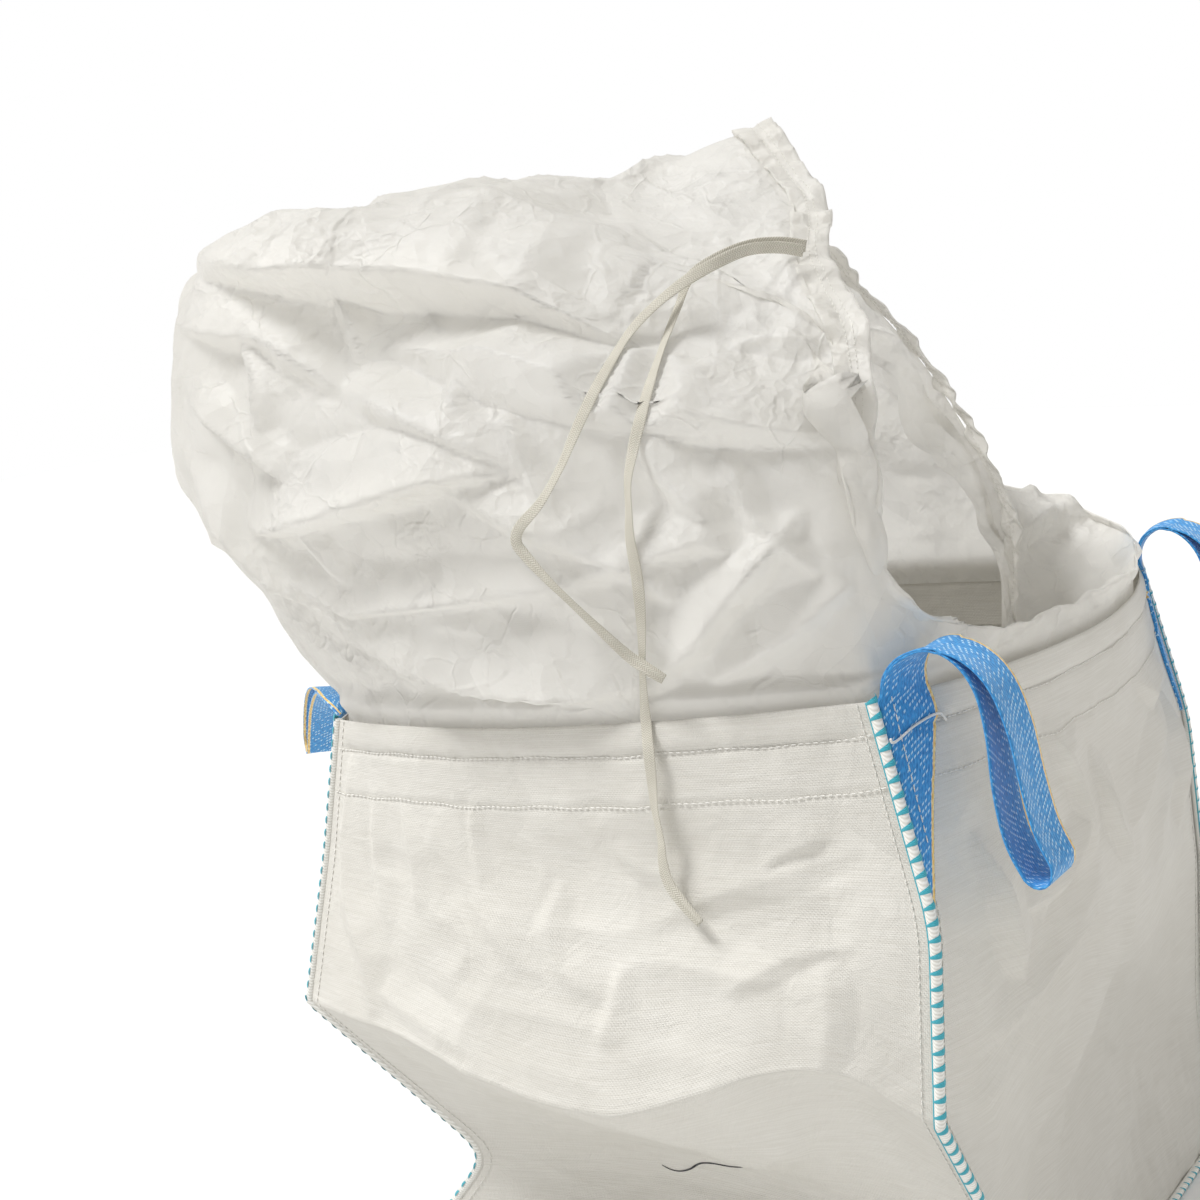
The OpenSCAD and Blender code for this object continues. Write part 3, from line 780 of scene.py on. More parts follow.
def thread_material(name, dark, light, twist):
    """Twisted sewing thread or filler between two tones, painted darker in the grooves of the twist as
    painted shade, with fuzz noise.
    """
    material, tree = new_material(name)
    place = tree.node("ShaderNodeTexCoord")[3]
    parts = tree.node("ShaderNodeSeparateXYZ", {}, {0: place})
    lay = ((parts[2] + parts[0] * 0.7 - parts[1] * 0.7) / twist * (2 * math.pi)).sin() * 0.5 + 0.5
    fuzz = tree.noise(place, 350.0, 3.0)
    # Painted shade: the colour follows the twist's relief and is darker in its grooves; the fuzz noise
    # adds random tone.
    colour = tree.mix_colour((lay * 0.6 + fuzz * 0.4).step(0.1, 0.9), dark, light)
    normal = bumped(tree, lay + fuzz, 0.0004, 0.7)
    finish_material(tree, colour, 0.55, normal, sheen=0.1)
    return material


def marker_ink():
    material, tree = new_material("marker_ink")
    place = tree.node("ShaderNodeTexCoord")[3]
    wear = tree.noise(place, 180.0, 4.0)
    colour = tree.mix_colour(wear.step(0.4, 0.75), (0.012, 0.012, 0.016), (0.09, 0.09, 0.10))
    finish_material(tree, colour, 0.5, bumped(tree, wear, 0.0001))
    return material


WOVEN = woven_fabric()
SKIRT = skirt_fabric()
WEBBING = loop_webbing()
TAPE = tie_tape_fabric()
FILLER = thread_material("filler_cord", (0.70, 0.69, 0.64), (0.92, 0.92, 0.89), 0.0035)
TURQUOISE = thread_material("overlock_thread", (0.020, 0.30, 0.40), (0.08, 0.55, 0.66), 0.0011)
WHITE_THREAD = thread_material("white_thread", (0.72, 0.70, 0.64), (0.95, 0.94, 0.91), 0.0016)
INK = marker_ink()


# ---------------------------------------------------------------- repeated stitches
def new_tree(name, sizes):
    """A Geometry Nodes tree with a geometry input and output and named sizes."""
    group = bpy.data.node_groups.new(name, "GeometryNodeTree")
    group.interface.new_socket("Path", in_out="INPUT", socket_type="NodeSocketGeometry")
    sockets = {}
    for label, value in sizes.items():
        item = group.interface.new_socket(label, in_out="INPUT", socket_type="NodeSocketFloat")
        item.default_value = value
        sockets[label] = item.identifier
    item = group.interface.new_socket("Thread", in_out="INPUT", socket_type="NodeSocketMaterial")
    sockets["Thread"] = item.identifier
    group.interface.new_socket("Stitches", in_out="OUTPUT", socket_type="NodeSocketGeometry")
    tree = Tree(group)
    given = tree.node("NodeGroupInput")
    labels = ["Path", *sizes, "Thread"]
    return group, sockets, tree, dict(zip(labels, given))


def close_tree(tree, path_points, shape, rotation, given):
    placed = tree.node("GeometryNodeInstanceOnPoints", {}, {
        "Points": path_points, "Instance": shape, "Rotation": rotation})[0]
    real = tree.node("GeometryNodeRealizeInstances", {}, {0: placed})[0]
    dressed = tree.node("GeometryNodeSetMaterial", {}, {
        "Geometry": real, "Material": given["Thread"]})[0]
    tree.node("NodeGroupOutput", {}, {0: dressed})


def lockstitch_tree():
    """Short rounded stitches in line along each path."""
    group, sockets, tree, given = new_tree(
        "lockstitch", {"Pitch": 0.0075, "Length": 0.0055, "Thickness": 0.0014})
    curve = tree.node("GeometryNodeMeshToCurve", {}, {"Mesh": given["Path"]})[0]
    even = tree.node("GeometryNodeResampleCurve", {"mode": "LENGTH"}, {
        "Curve": curve, "Length": given["Pitch"]})[0]
    ball = tree.node("GeometryNodeMeshUVSphere", {}, {
        "Segments": 6, "Rings": 4, "Radius": 0.5})[0]
    size = tree.node("ShaderNodeCombineXYZ", {}, {
        0: given["Length"], 1: given["Thickness"], 2: given["Thickness"]})[0]
    turned = tree.node("GeometryNodeTransform", {}, {
        "Geometry": ball, "Rotation": (0, math.pi / 2, 0)})[0]
    stitch = tree.node("GeometryNodeTransform", {}, {"Geometry": turned, "Scale": size})[0]
    tangent = tree.node("GeometryNodeInputTangent")[0]
    rotation = tree.node("FunctionNodeAlignRotationToVector", {"axis": "X"}, {
        "Vector": tangent})[0]
    close_tree(tree, even, stitch, rotation, given)
    return group, sockets


def wrap_tree():
    """Tapered bundles of overlock thread that hug a round cord, wide on one edge."""
    group, sockets, tree, given = new_tree("overlock_wraps", {
        "Pitch": 0.0165, "Wide": 0.0100, "Narrow": 0.0012, "Slant": 0.0045,
        "Half width": 0.0064, "Half height": 0.0054, "Turn": 3.9})
    curve = tree.node("GeometryNodeMeshToCurve", {}, {"Mesh": given["Path"]})[0]
    even = tree.node("GeometryNodeResampleCurve", {"mode": "LENGTH"}, {
        "Curve": curve, "Length": given["Pitch"]})[0]
    grid = tree.node("GeometryNodeMeshGrid", {}, {
        "Size X": 1.0, "Size Y": 1.0, "Vertices X": 11, "Vertices Y": 4})[0]
    place = tree.node("GeometryNodeInputPosition")[0]
    round_it, along, _ = tree.node("ShaderNodeSeparateXYZ", {}, {0: place})
    angle = round_it * given["Turn"]
    share = round_it + 0.5
    width = given["Wide"] * (1 - share) + given["Narrow"] * share
    swell = 1 + (0.25 - along * along) * 0.5 * (1.1 - share)
    moved = tree.node("ShaderNodeCombineXYZ", {}, {
        0: along * width - round_it * given["Slant"],
        1: angle.sin() * given["Half width"] * swell,
        2: angle.cos() * given["Half height"] * swell})[0]
    bundle = tree.node("GeometryNodeSetPosition", {}, {"Geometry": grid, "Position": moved})[0]
    tangent = tree.node("GeometryNodeInputTangent")[0]
    out = tree.node("GeometryNodeInputNamedAttribute", {"data_type": "FLOAT_VECTOR"}, {
        "Name": "out"})[0]
    rotation = tree.node(
        "FunctionNodeAxesToRotation", {"primary_axis": "X", "secondary_axis": "Z"}, {
            "Primary Axis": tangent, "Secondary Axis": out})[0]
    close_tree(tree, even, bundle, rotation, given)
    return group, sockets


LOCKSTITCH = lockstitch_tree()
WRAPS = wrap_tree()


def repeated(name, paths, tree_and_sockets, thread, sizes=None, outs=None):
    """One mesh of everything that the tree places along the paths."""
    group, sockets = tree_and_sockets
    points = np.concatenate(paths)
    edges = []
    start = 0
    for path in paths:
        edges += [(start + k, start + k + 1) for k in range(len(path) - 1)]
        start += len(path)
    mesh = bpy.data.meshes.new(name)
    mesh.from_pydata(points.tolist(), edges, [])
    if outs is not None:
        attribute = mesh.attributes.new("out", "FLOAT_VECTOR", "POINT")
        attribute.data.foreach_set("vector", np.concatenate(outs).astype(np.float32).ravel())
    piece = add_object(name, mesh)
    modifier = piece.modifiers.new("stitches", "NODES")
    modifier.node_group = group
    for label, value in (sizes or {}).items():
        modifier[sockets[label]] = value
    modifier[sockets["Thread"]] = thread
    bpy.context.view_layer.update()
    made = bake(piece)
    if not made.materials:
        made.materials.append(thread)
    made.polygons.foreach_set("use_smooth", np.ones(len(made.polygons), bool))
    return piece


# ---------------------------------------------------------------- cords first: the tie tape
TAPE_LINES = []


def tape_piece(name, route, node):
    """A flat woven tape along its route, its width turned to the cloth behind it."""
    points = np.array(route, float) * MM
    t = np.linspace(0, len(route) - 1, (len(route) - 1) * 7 + 1)
    line = through(points, t)
    run = unit(np.gradient(line, axis=0))
    across = unit(np.cross(run, np.array([0.1, 1, 0])))
    lean = 0.35 * np.sin(t * 1.15 + len(route))
    face = unit(np.cross(run, across))
    across, face = (
        across * np.cos(lean)[:, None] + face * np.sin(lean)[:, None],
        face * np.cos(lean)[:, None] - across * np.sin(lean)[:, None],
    )
    piece = swept(name, line, across, face, TAPE_WIDTH / 2, TAPE_WALL / 2, 12, TAPE, 0.55)
    TAPE_LINES.append(line[::2])
    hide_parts(node)
    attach(piece, "bag")


tape_piece("tape_long", LONG_ROUTE, "tie_tape_long")
tape_piece("tape_short", SHORT_ROUTE, "tie_tape_short")


# ---------------------------------------------------------------- side panels
PANEL_ROWS, PANEL_COLUMNS = 200, 184
# Long folds on each panel: points along the outside, x or y and z in metres, then height,
# upper slope and lower slope.
PANEL_RIDGES = {
    FRONT: [
        ([(-0.40, 0.73), (-0.41, 0.63), (-0.40, 0.55), (-0.36, 0.49), (-0.34, 0.42)],
         0.022, 0.06, 0.03),
        ([(-0.35, 0.70), (-0.34, 0.60), (-0.31, 0.52)], 0.012, 0.03, 0.02),
        ([(-0.29, 0.69), (-0.27, 0.62), (-0.26, 0.56)], 0.009, 0.03, 0.015),
        ([(-0.16, 0.72), (-0.16, 0.66), (-0.15, 0.61)], 0.006, 0.025, 0.015),
        ([(-0.03, 0.64), (-0.05, 0.58), (-0.03, 0.54), (0.05, 0.51)], 0.009, 0.04, 0.02),
        ([(0.21, 0.67), (0.26, 0.70), (0.31, 0.72)], 0.012, 0.035, 0.015),
        ([(0.08, 0.60), (0.18, 0.65), (0.27, 0.68), (0.34, 0.71)], 0.010, 0.06, 0.025),
        ([(0.06, 0.56), (0.05, 0.51), (0.03, 0.46)], 0.009, 0.03, 0.02),
        ([(-0.35, 0.46), (-0.25, 0.44), (-0.14, 0.42)], 0.010, 0.04, 0.02),
        ([(0.30, 0.46), (0.31, 0.53), (0.30, 0.60)], 0.014, 0.05, 0.03),
        ([(0.03, 0.68), (0.11, 0.66), (0.16, 0.61)], 0.006, 0.03, 0.02),
        ([(-0.17, 0.60), (-0.09, 0.54), (-0.02, 0.52)], 0.007, 0.04, 0.02),
        ([(0.18, 0.54), (0.26, 0.59), (0.34, 0.61)], 0.009, 0.04, 0.02),
        ([(0.05, 0.24), (0.16, 0.30), (0.27, 0.40)], 0.014, 0.05, 0.03),
    ],
    RIGHT: [
        ([(-0.36, 0.70), (-0.34, 0.60), (-0.30, 0.50)], 0.014, 0.05, 0.03),
        ([(-0.20, 0.78), (-0.14, 0.70), (-0.10, 0.60)], 0.010, 0.05, 0.025),
        ([(0.02, 0.58), (0.12, 0.64), (0.24, 0.70)], 0.011, 0.05, 0.025),
        ([(-0.38, 0.47), (-0.22, 0.52), (-0.06, 0.55)], 0.012, 0.06, 0.03),
        ([(0.30, 0.50), (0.31, 0.60), (0.28, 0.70)], 0.012, 0.04, 0.025),
        ([(-0.25, 0.30), (-0.12, 0.36), (0.0, 0.40)], 0.012, 0.05, 0.03),
        ([(-0.31, 0.78), (-0.27, 0.68), (-0.25, 0.56)], 0.012, 0.03, 0.018),
        ([(-0.10, 0.72), (-0.05, 0.62), (0.04, 0.54)], 0.012, 0.04, 0.02),
        ([(-0.34, 0.60), (-0.20, 0.60), (-0.08, 0.66)], 0.010, 0.04, 0.02),
        ([(0.08, 0.76), (0.16, 0.72), (0.28, 0.74)], 0.010, 0.04, 0.02),
        ([(-0.30, 0.12), (-0.18, 0.20), (-0.10, 0.30)], 0.012, 0.05, 0.03),
    ],
    BACK: [
        ([(-0.30, 0.70), (-0.20, 0.62), (-0.08, 0.58)], 0.012, 0.05, 0.03),
        ([(0.05, 0.74), (0.08, 0.64), (0.06, 0.54)], 0.011, 0.05, 0.03),
        ([(0.14, 0.50), (0.24, 0.57), (0.34, 0.68)], 0.013, 0.05, 0.03),
        ([(-0.34, 0.48), (-0.20, 0.50), (-0.06, 0.47)], 0.011, 0.05, 0.025),
        ([(0.02, 0.30), (0.14, 0.34), (0.26, 0.38)], 0.012, 0.05, 0.03),
    ],
    LEFT: [
        ([(-0.30, 0.66), (-0.24, 0.58), (-0.20, 0.48)], 0.013, 0.05, 0.03),
        ([(-0.08, 0.70), (0.02, 0.64), (0.10, 0.56)], 0.011, 0.05, 0.03),
        ([(0.16, 0.52), (0.24, 0.60), (0.30, 0.68)], 0.012, 0.05, 0.025),
        ([(-0.20, 0.36), (-0.06, 0.38), (0.10, 0.35)], 0.011, 0.05, 0.03),
    ],
}
# How strongly the front's, right's, back's and left's long folds show.
PANEL_RIDGE_STRENGTH = (0.55, 1.35, 1.1, 1.1)
# How far the crease's line rises and falls along each side, in metres.
CREASE_LIFT = {
    FRONT: (0, 0.004, 0.002, -0.008, -0.020, -0.030, -0.026, 0.006, 0.040, 0.046, 0),
    RIGHT: (0, -0.012, 0.006, 0.026, 0.030, 0.008, -0.016, -0.020, 0.004, 0.010, 0),
    BACK: (0, 0.014, 0.030, 0.012, -0.016, -0.022, 0.004, 0.026, 0.022, 0.002, 0),
    LEFT: (0, 0.010, -0.012, -0.024, -0.006, 0.022, 0.030, 0.012, -0.014, -0.008, 0),
}
PANEL_PLANES = {
    FRONT: ((0, 2), (0, -1, 0)),
    RIGHT: ((1, 2), (1, 0, 0)),
    BACK: ((0, 2), (0, 1, 0)),
    LEFT: ((1, 2), (-1, 0, 0)),
}
PANEL_H = np.linspace(0, TOP, PANEL_ROWS)[:, None]
PANEL_S = np.linspace(0, 1, PANEL_COLUMNS)[None, :]


def below_hem(side):
    """How far each point of the panel's grid is below the top edge."""
    rise = level_line(side, PANEL_S[0], TOP) - level_line(side, PANEL_S[0], TOP - 1)
    return (TOP - PANEL_H) * np.linalg.norm(rise, axis=-1)[None, :]


def hem_relief(side, place):
    """The rolled top edge, both stitched grooves and the doubled cloth between them."""
    down = below_hem(side)
    groove = lambda at, width: np.exp(-((down - at) / width) ** 2)
    roll = 0.0030 * np.clip(np.sin(np.clip(down / HEM_FIRST_STITCH, 0, 1) * math.pi), 0, 1)
    doubled = 0.0010 * (1 - smooth_step(HEM_SECOND_STITCH, HEM_SECOND_STITCH + 0.006, down))
    stretched = place * np.array([1, 1, 0.25])
    pucker = lattice_noise(stretched, 0.014, 41 + side)
    near = groove(HEM_FIRST_STITCH, 0.016) + 0.7 * groove(HEM_SECOND_STITCH, 0.014)
    return (
        roll + doubled - 0.0032 * groove(HEM_FIRST_STITCH, 0.0036)
        - 0.0022 * groove(HEM_SECOND_STITCH, 0.0034) + 0.0022 * pucker * near
    )


def panel_grid(side):
    flat = eased_panel(side, PANEL_S, PANEL_H)
    lift = through(np.array(CREASE_LIFT[side])[:, None], np.broadcast_to(PANEL_S * 10, flat.shape[:2]))
    near_crease = smooth_step(1.0, 0.0, np.abs(PANEL_H - 2) / 0.95)
    flat = flat + lift * near_crease[..., None] * np.array([0, 0, 1])
    plane, facing = PANEL_PLANES[side]
    lift = ridge_lift(flat, PANEL_RIDGES[side], plane, facing)
    edge = np.minimum(PANEL_S, 1 - PANEL_S) * side_length(side, 2)
    down = below_hem(side)
    inward = smooth_step(0.004, 0.05, edge) + 0 * down
    lift = lift * inward[..., None] * PANEL_RIDGE_STRENGTH[side]
    crumple = 0.010 * creases(flat, 0.30, 61 + side) + 0.003 * creases(flat, 0.13, 71 + side) - 0.009
    calm = smooth_step(0.02, 0.12, edge) * smooth_step(0.09, 0.16, down)
    lift = lift + grid_normals(flat) * (crumple * calm)[..., None]
    shaped = flat + lift * 0.5
    near_hem = 1 - smooth_step(0.09, 0.26, down)
    low = smooth_step(1.3, 0.4, PANEL_H) + 0 * PANEL_S
    slack_across = 0.013 + 0.016 * near_hem + 0.012 * low
    slack_up = 0.011 + 0.006 * low + 0 * near_hem
    hold = 0.012 + 0.10 * (1 - smooth_step(0.0, 0.03, edge)) + 0.02 * near_hem
    cloth = buckle(shaped, slack_across, slack_up, hold, 0.45,
                   ((8, 120, 1.0), (4, 120, 0.5), (2, 90, 0.3), (1, 40, 0.12)),
                   False, 7 + side, 0.006)
    cloth = shaped + (cloth - shaped) * inward[..., None] + lift * 0.5
    cloth = cloth + grid_normals(cloth) * (hem_relief(side, cloth) * inward)[..., None]
    if side == FRONT:
        cloth = give_way(cloth, grid_normals(flat), TAPE_LINES, TAPE_CLEARANCE)
    cloth[..., 2] = np.maximum(cloth[..., 2], 0.0004)
    return cloth


PANELS = [panel_grid(side) for side in range(4)]
for side, name in enumerate(SIDE_NAMES):
    piece = cloth_piece(f"panel_{name}", PANELS[side], WOVEN, PANEL_WALL)
    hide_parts(f"{name}_panel")
    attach(piece, "bag")


def panel_place(side, s, level, lift):
    """Places on the finished panel: s along the side and so many levels up."""
    s, level = np.broadcast_arrays(np.asarray(s, float), np.asarray(level, float))
    cloth, normal = PANELS[side], grid_normals(PANELS[side])
    c = np.clip(s, 0, 1) * (PANEL_COLUMNS - 1)
    r = np.clip(level / TOP, 0, 1) * (PANEL_ROWS - 1)
    r0, c0 = np.minimum(r.astype(int), PANEL_ROWS - 2), np.minimum(c.astype(int), PANEL_COLUMNS - 2)
    fr, fc = (r - r0)[..., None], (c - c0)[..., None]
    across = lambda a, row: mix(a[row, c0], a[row, c0 + 1], fc)
    take = lambda a: mix(across(a, r0), across(a, r0 + 1), fr)
    return take(cloth) + unit(take(normal)) * lift


def on_panel(side, s, down, lift=0.0006):
    """Places on the finished panel: s along the side, down from the top edge in metres."""
    s, down = np.broadcast_arrays(np.asarray(s, float), np.asarray(down, float))
    column = np.round(np.clip(s, 0, 1) * (PANEL_COLUMNS - 1)).astype(int)
    return panel_place(side, s, TOP - down / below_hem(side)[0, column] * TOP, lift)


# ---------------------------------------------------------------- base and turned hem
def base_grid():
    cells = 72
    a, b, c, d = (np.array(p, float) * MM for p in LEVELS[0][0])
    s, t = np.meshgrid(np.linspace(0, 1, cells), np.linspace(0, 1, cells))
    s, t = s[..., None], t[..., None]
    flat = mix(mix(a, b, s), mix(d, c, s), t)
    centre = flat.mean(axis=(0, 1))
    flat = centre + (flat - centre) * BASE_INSET_SHARE
    wrinkle = np.abs(lattice_noise(flat, 0.11, 3)) + 0.4 * np.abs(lattice_noise(flat, 0.04, 4))
    flat[..., 2] = 0.0006 + 0.004 * wrinkle
    return flat


base = cloth_piece("base_cloth", base_grid(), WOVEN, PANEL_WALL, offset=1)
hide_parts("base_panel")
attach(base, "bag")


def turned_hem():
    """The hem's inner layer, one run of it inside each panel."""
    points, faces, uvs = [], [], []
    rows = 9
    offset = 0
    for side in range(4):
        s = np.linspace(0.02, 0.98, 90)[None, :]
        down = np.linspace(HEM_SECOND_STITCH + 0.003, 0.001, rows)[:, None]
        grid = on_panel(side, s, down, -HEM_INNER_DEPTH)
        points.append(grid.reshape(-1, 3))
        faces.append(grid_faces(rows, s.size) + offset)
        uvs.append(cloth_uv(grid))
        offset += grid.shape[0] * grid.shape[1]
    mesh = mesh_of("hem_turned", np.concatenate(points), np.concatenate(faces), np.concatenate(uvs))
    piece = add_object("hem_turned", mesh, WOVEN)
    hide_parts("top_hem")
    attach(piece, "bag")


turned_hem()


# ---------------------------------------------------------------- corner seams and base seam
# Which way each corner's seam stands out from the bag.
CORNER_OUT = [(-1, 0.55, 0), (1, -1, 0), (1, 1, 0), (-1, 1, 0)]


def corner_path(corner, count=150):
    """Places up a corner, the way out of the bag at each and the way across its seam."""
    h = np.linspace(0.03, TOP, count)
    places = eased_panel(corner, np.zeros(count), h)
    run = unit(np.gradient(places, axis=0))
    out = unit(np.array(CORNER_OUT[corner], float))
    across = unit(np.cross(run, out))
    return places, unit(np.cross(across, run)), across


def corner_seam(corner, name):
    places, out, across = corner_path(corner)
    centres = places + out * FILLER_STANDOFF
    filler = swept(f"filler_{name}", centres, across, out, FILLER_HALF_WIDTH,
                   FILLER_HALF_HEIGHT, 14, FILLER, 0.9)
    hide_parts(f"seam_{name}")
    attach(filler, "bag")
    wraps = repeated(f"wraps_{name}", [centres], WRAPS, TURQUOISE, outs=[out])
    edge = centres - across * 0.0062 - out * 0.0008
    line = swept(f"edge_thread_{name}", edge, across, out, EDGE_THREAD_RADIUS,
                 EDGE_THREAD_RADIUS, 6, TURQUOISE)
    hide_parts(f"overlock_{name}")
    for piece in (wraps, line):
        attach(piece, "bag")


for corner, name in enumerate(CORNER_NAMES):
    corner_seam(corner, name)


def base_ring(outwards, height, count=240):
    """A rounded square round the base, for the seam that joins it to the panels."""
    corners = np.array(LEVELS[0][0], float) * MM
    centre = corners.mean(axis=0)
    t = np.linspace(0, 4, count, endpoint=False)
    side = t.astype(int) % 4
    f = (t - t.astype(int))[:, None]
    square = mix(corners[side], corners[(side + 1) % 4], f)
    arm = square - centre
    ring = centre + arm * (1 + outwards / np.maximum(np.abs(arm[:, :2]).max(axis=1), 1e-6))[:, None]
    ring[:, 2] = height
    run = unit(np.roll(ring, -1, 0) - np.roll(ring, 1, 0))
    out = unit(np.cross(run, np.array([0, 0, 1.0])))
    return ring, out


def base_seam():
    ring, out = base_ring(BASE_SEAM_OUTWARDS, BASE_SEAM_HEIGHT)
    closed = lambda a: np.concatenate([a, a[:1]])
    up = np.broadcast_to([0, 0, 1.0], out.shape)
    filler = swept("filler_base", closed(ring), closed(out), closed(up),
                   0.0058, 0.0031, 12, FILLER, 0.9)
    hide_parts("base_seam")
    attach(filler, "bag")
    wraps = repeated("wraps_base", [closed(ring)], WRAPS, TURQUOISE, outs=[closed(out)],
                     sizes={"Half width": 0.0034, "Half height": 0.0061, "Turn": 3.4})
    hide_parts("base_overlock")
    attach(wraps, "bag")


base_seam()


# ---------------------------------------------------------------- lift loops
def loop_frames(name):
    """The loop's side and root, then the places, directions and half gap along its webbing."""
    side, at_start, spine, droop = LOOPS[name][:4]
    droop = np.array(droop, float)
    length = side_length(side, TOP)
    half = (0.008 + WEBBING_WIDTH / 2) / length
    middle = half if at_start else 1 - half
    near_top = TOP - 0.01
    along = unit(panel_point(side, middle + 0.01, near_top)
                 - panel_point(side, middle - 0.01, near_top))
    up = unit(panel_point(side, middle, TOP) - panel_point(side, middle, TOP - 0.02))
    root = panel_point(side, middle, TOP) + unit(np.cross(along, up)) * LOOP_STANDOFF
    t = np.linspace(0, len(spine) - 1, (len(spine) - 1) * 8 + 1)
    flat = through(np.array(spine, float) * MM, t)
    places = root + droop * flat[:, :1] + np.array([0, 0, 1.0]) * flat[:, 1:]
    across_droop = unit(np.cross(np.array([0, 0, 1.0]), droop))
    wide = unit(mix(along, across_droop, np.clip(t / 3, 0, 1)[:, None]))
    run = unit(np.gradient(places, axis=0))
    run[0] = up
    gap = through(np.array(LOOP_HALF_GAP)[:, None] * MM, t)[:, 0]
    return side, at_start, root, places, wide, run, gap


def loop_piece(name):
    """One length of webbing: sewn leg, the rise over the hem, out along one strand, round the
    tip and back along the other, with the second leg behind the first."""
    side, at_start, root, places, wide, run, gap = loop_frames(name)
    normal = unit(np.cross(wide, run))
    columns = 13
    k = np.linspace(-0.5, 0.5, columns)
    length = side_length(side, TOP)
    leg_rows = 34
    down = np.linspace(LEG_LENGTH, LEG_TOP_GAP, leg_rows)

    def leg(lift):
        cut = WEBBING_WIDTH * np.clip((down - 0.03) / 0.19, 0, 0.985)
        seen = WEBBING_WIDTH - cut
        reach = WEBBING_SETBACK + (k[None, :] + 0.5) * seen[:, None]
        s = reach / length if at_start else 1 - reach / length
        if not at_start:
            s = s[:, ::-1]
            u = (1 - (k[None, :] + 0.5)) * seen[:, None]
        else:
            u = cut[:, None] + (k[None, :] + 0.5) * seen[:, None]
        grid = on_panel(side, s, np.broadcast_to(down[:, None], s.shape), lift)
        return grid, np.broadcast_to(u, s.shape)

    def strand(way):
        curl = WEBBING_CURL * np.cos(k * 2 * math.pi)
        sway = WEBBING_SWAY * np.sin(np.linspace(0, 7, len(places)) + way)
        apart = normal * (gap * way)[:, None]
        centre = places + apart + normal * sway[:, None] * (gap > 0.002)[:, None]
        return centre[:, None] + wide[:, None] * (k * WEBBING_WIDTH)[None, :, None] + (
            normal[:, None] * curl[None, :, None])

    first_leg, leg_u = leg(OUTER_LEG_LIFT)
    second_leg, _ = leg(INNER_LEG_LIFT)
    out_strand, back_strand = strand(-1), strand(1)
    centre_u = (k + 0.5) * WEBBING_WIDTH
    turn_rows = []
    last = places[-1]
    for angle in np.linspace(0, math.pi, 9)[1:-1]:
        arm = run[-1] * math.sin(angle) - normal[-1] * math.cos(angle)
        turn_rows.append(last + arm * gap[-1] + wide[-1] * (k * WEBBING_WIDTH)[:, None])
    rows = np.concatenate([
        second_leg, out_strand[2:], np.array(turn_rows), back_strand[::-1][:-2], first_leg[::-1],
    ])
    flat_u = np.broadcast_to(centre_u, (len(out_strand) - 2, columns))
    turn_u = np.broadcast_to(centre_u, (len(turn_rows), columns))
    u = np.concatenate([leg_u, flat_u, turn_u, flat_u, leg_u[::-1]])
    steps = np.linalg.norm(np.diff(rows[:, columns // 2], axis=0), axis=1)
    v = np.concatenate([[0], np.cumsum(steps)])
    faces = grid_faces(len(rows), columns)
    uv = face_corners(len(rows), columns - 1, lambda r, c: np.stack([u[r, c], v[r]], axis=1))
    piece = add_object(f"webbing_{name}", mesh_of(f"webbing_{name}", rows, faces, uv), WEBBING)
    thicken = piece.modifiers.new("wall", "SOLIDIFY")
    thicken.thickness = WEBBING_WALL
    thicken.offset = 0
    bake(piece)
    swing = np.array(LOOPS[name][4], float)
    before, after = (x * MM for x in LOOPS[name][5])
    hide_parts(f"loop_leg_{name}", f"lift_loop_{name}")
    tuple(root + swing * before)
    tuple(root + swing * after)
    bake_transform(piece)


bpy.context.view_layer.update()
for name in LOOPS:
    loop_piece(name)


# ---------------------------------------------------------------- a pen stroke and a loose thread
def thin_line(name, path, out, half_width, half_height, material):
    run = unit(np.gradient(path, axis=0))
    across = unit(np.cross(run, out))
    piece = swept(name, path, across, unit(np.cross(across, run)),
                  half_width, half_height, 6, material)
    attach(piece, "bag")


def pen_stroke():
    t = np.linspace(0, 1, 50)
    s = mix(0.335, 0.53, t)
    level = 0.985 + 0.11 * t ** 1.6 - 0.04 * np.sin(t * 9) * (1 - t)
    path = panel_place(FRONT, s, level, 0.0004)
    width = 0.0011 * np.sin(np.clip(t * 1.04 + 0.02, 0, 1) * math.pi) ** 0.5 + 0.0003
    thin_line("pen_stroke", path, np.array([0, -1.0, -0.5]), width, 0.0003, INK)


def loose_thread():
    """A thick end of sewing thread that lies across the front right loop's leg."""
    reach = np.array([-0.010, -0.004, 0.006, 0.020, 0.036, 0.052, 0.066, 0.078, 0.086])
    down = np.array([0.036, 0.041, 0.043, 0.040, 0.034, 0.029, 0.027, 0.030, 0.038])
    lift = np.array([0.014, 0.013, 0.0105, 0.0075, 0.0072, 0.0070, 0.0065, 0.0035, 0.0030])
    s = reach / side_length(RIGHT, TOP)
    knots = on_panel(RIGHT, s, down, 0.0)
    outwards = np.array([1.0, 0, 0]) * lift[:, None]
    knots += outwards + np.minimum(reach, 0)[:, None] * np.array([-0.3, 1, 0])
    path = through(knots, np.linspace(0, len(knots) - 1, 80))
    thin_line("loose_thread", path, np.array([1.0, -0.2, 0]), 0.0016, 0.0013, WHITE_THREAD)


pen_stroke()
loose_thread()


# ---------------------------------------------------------------- skirt
SKIRT_COLUMNS = 480
SKIRT_ROWS_PER_RING = [30, 40, 42, 34, 22]
SKIRT_RIDGE_STRENGTH = 1.5
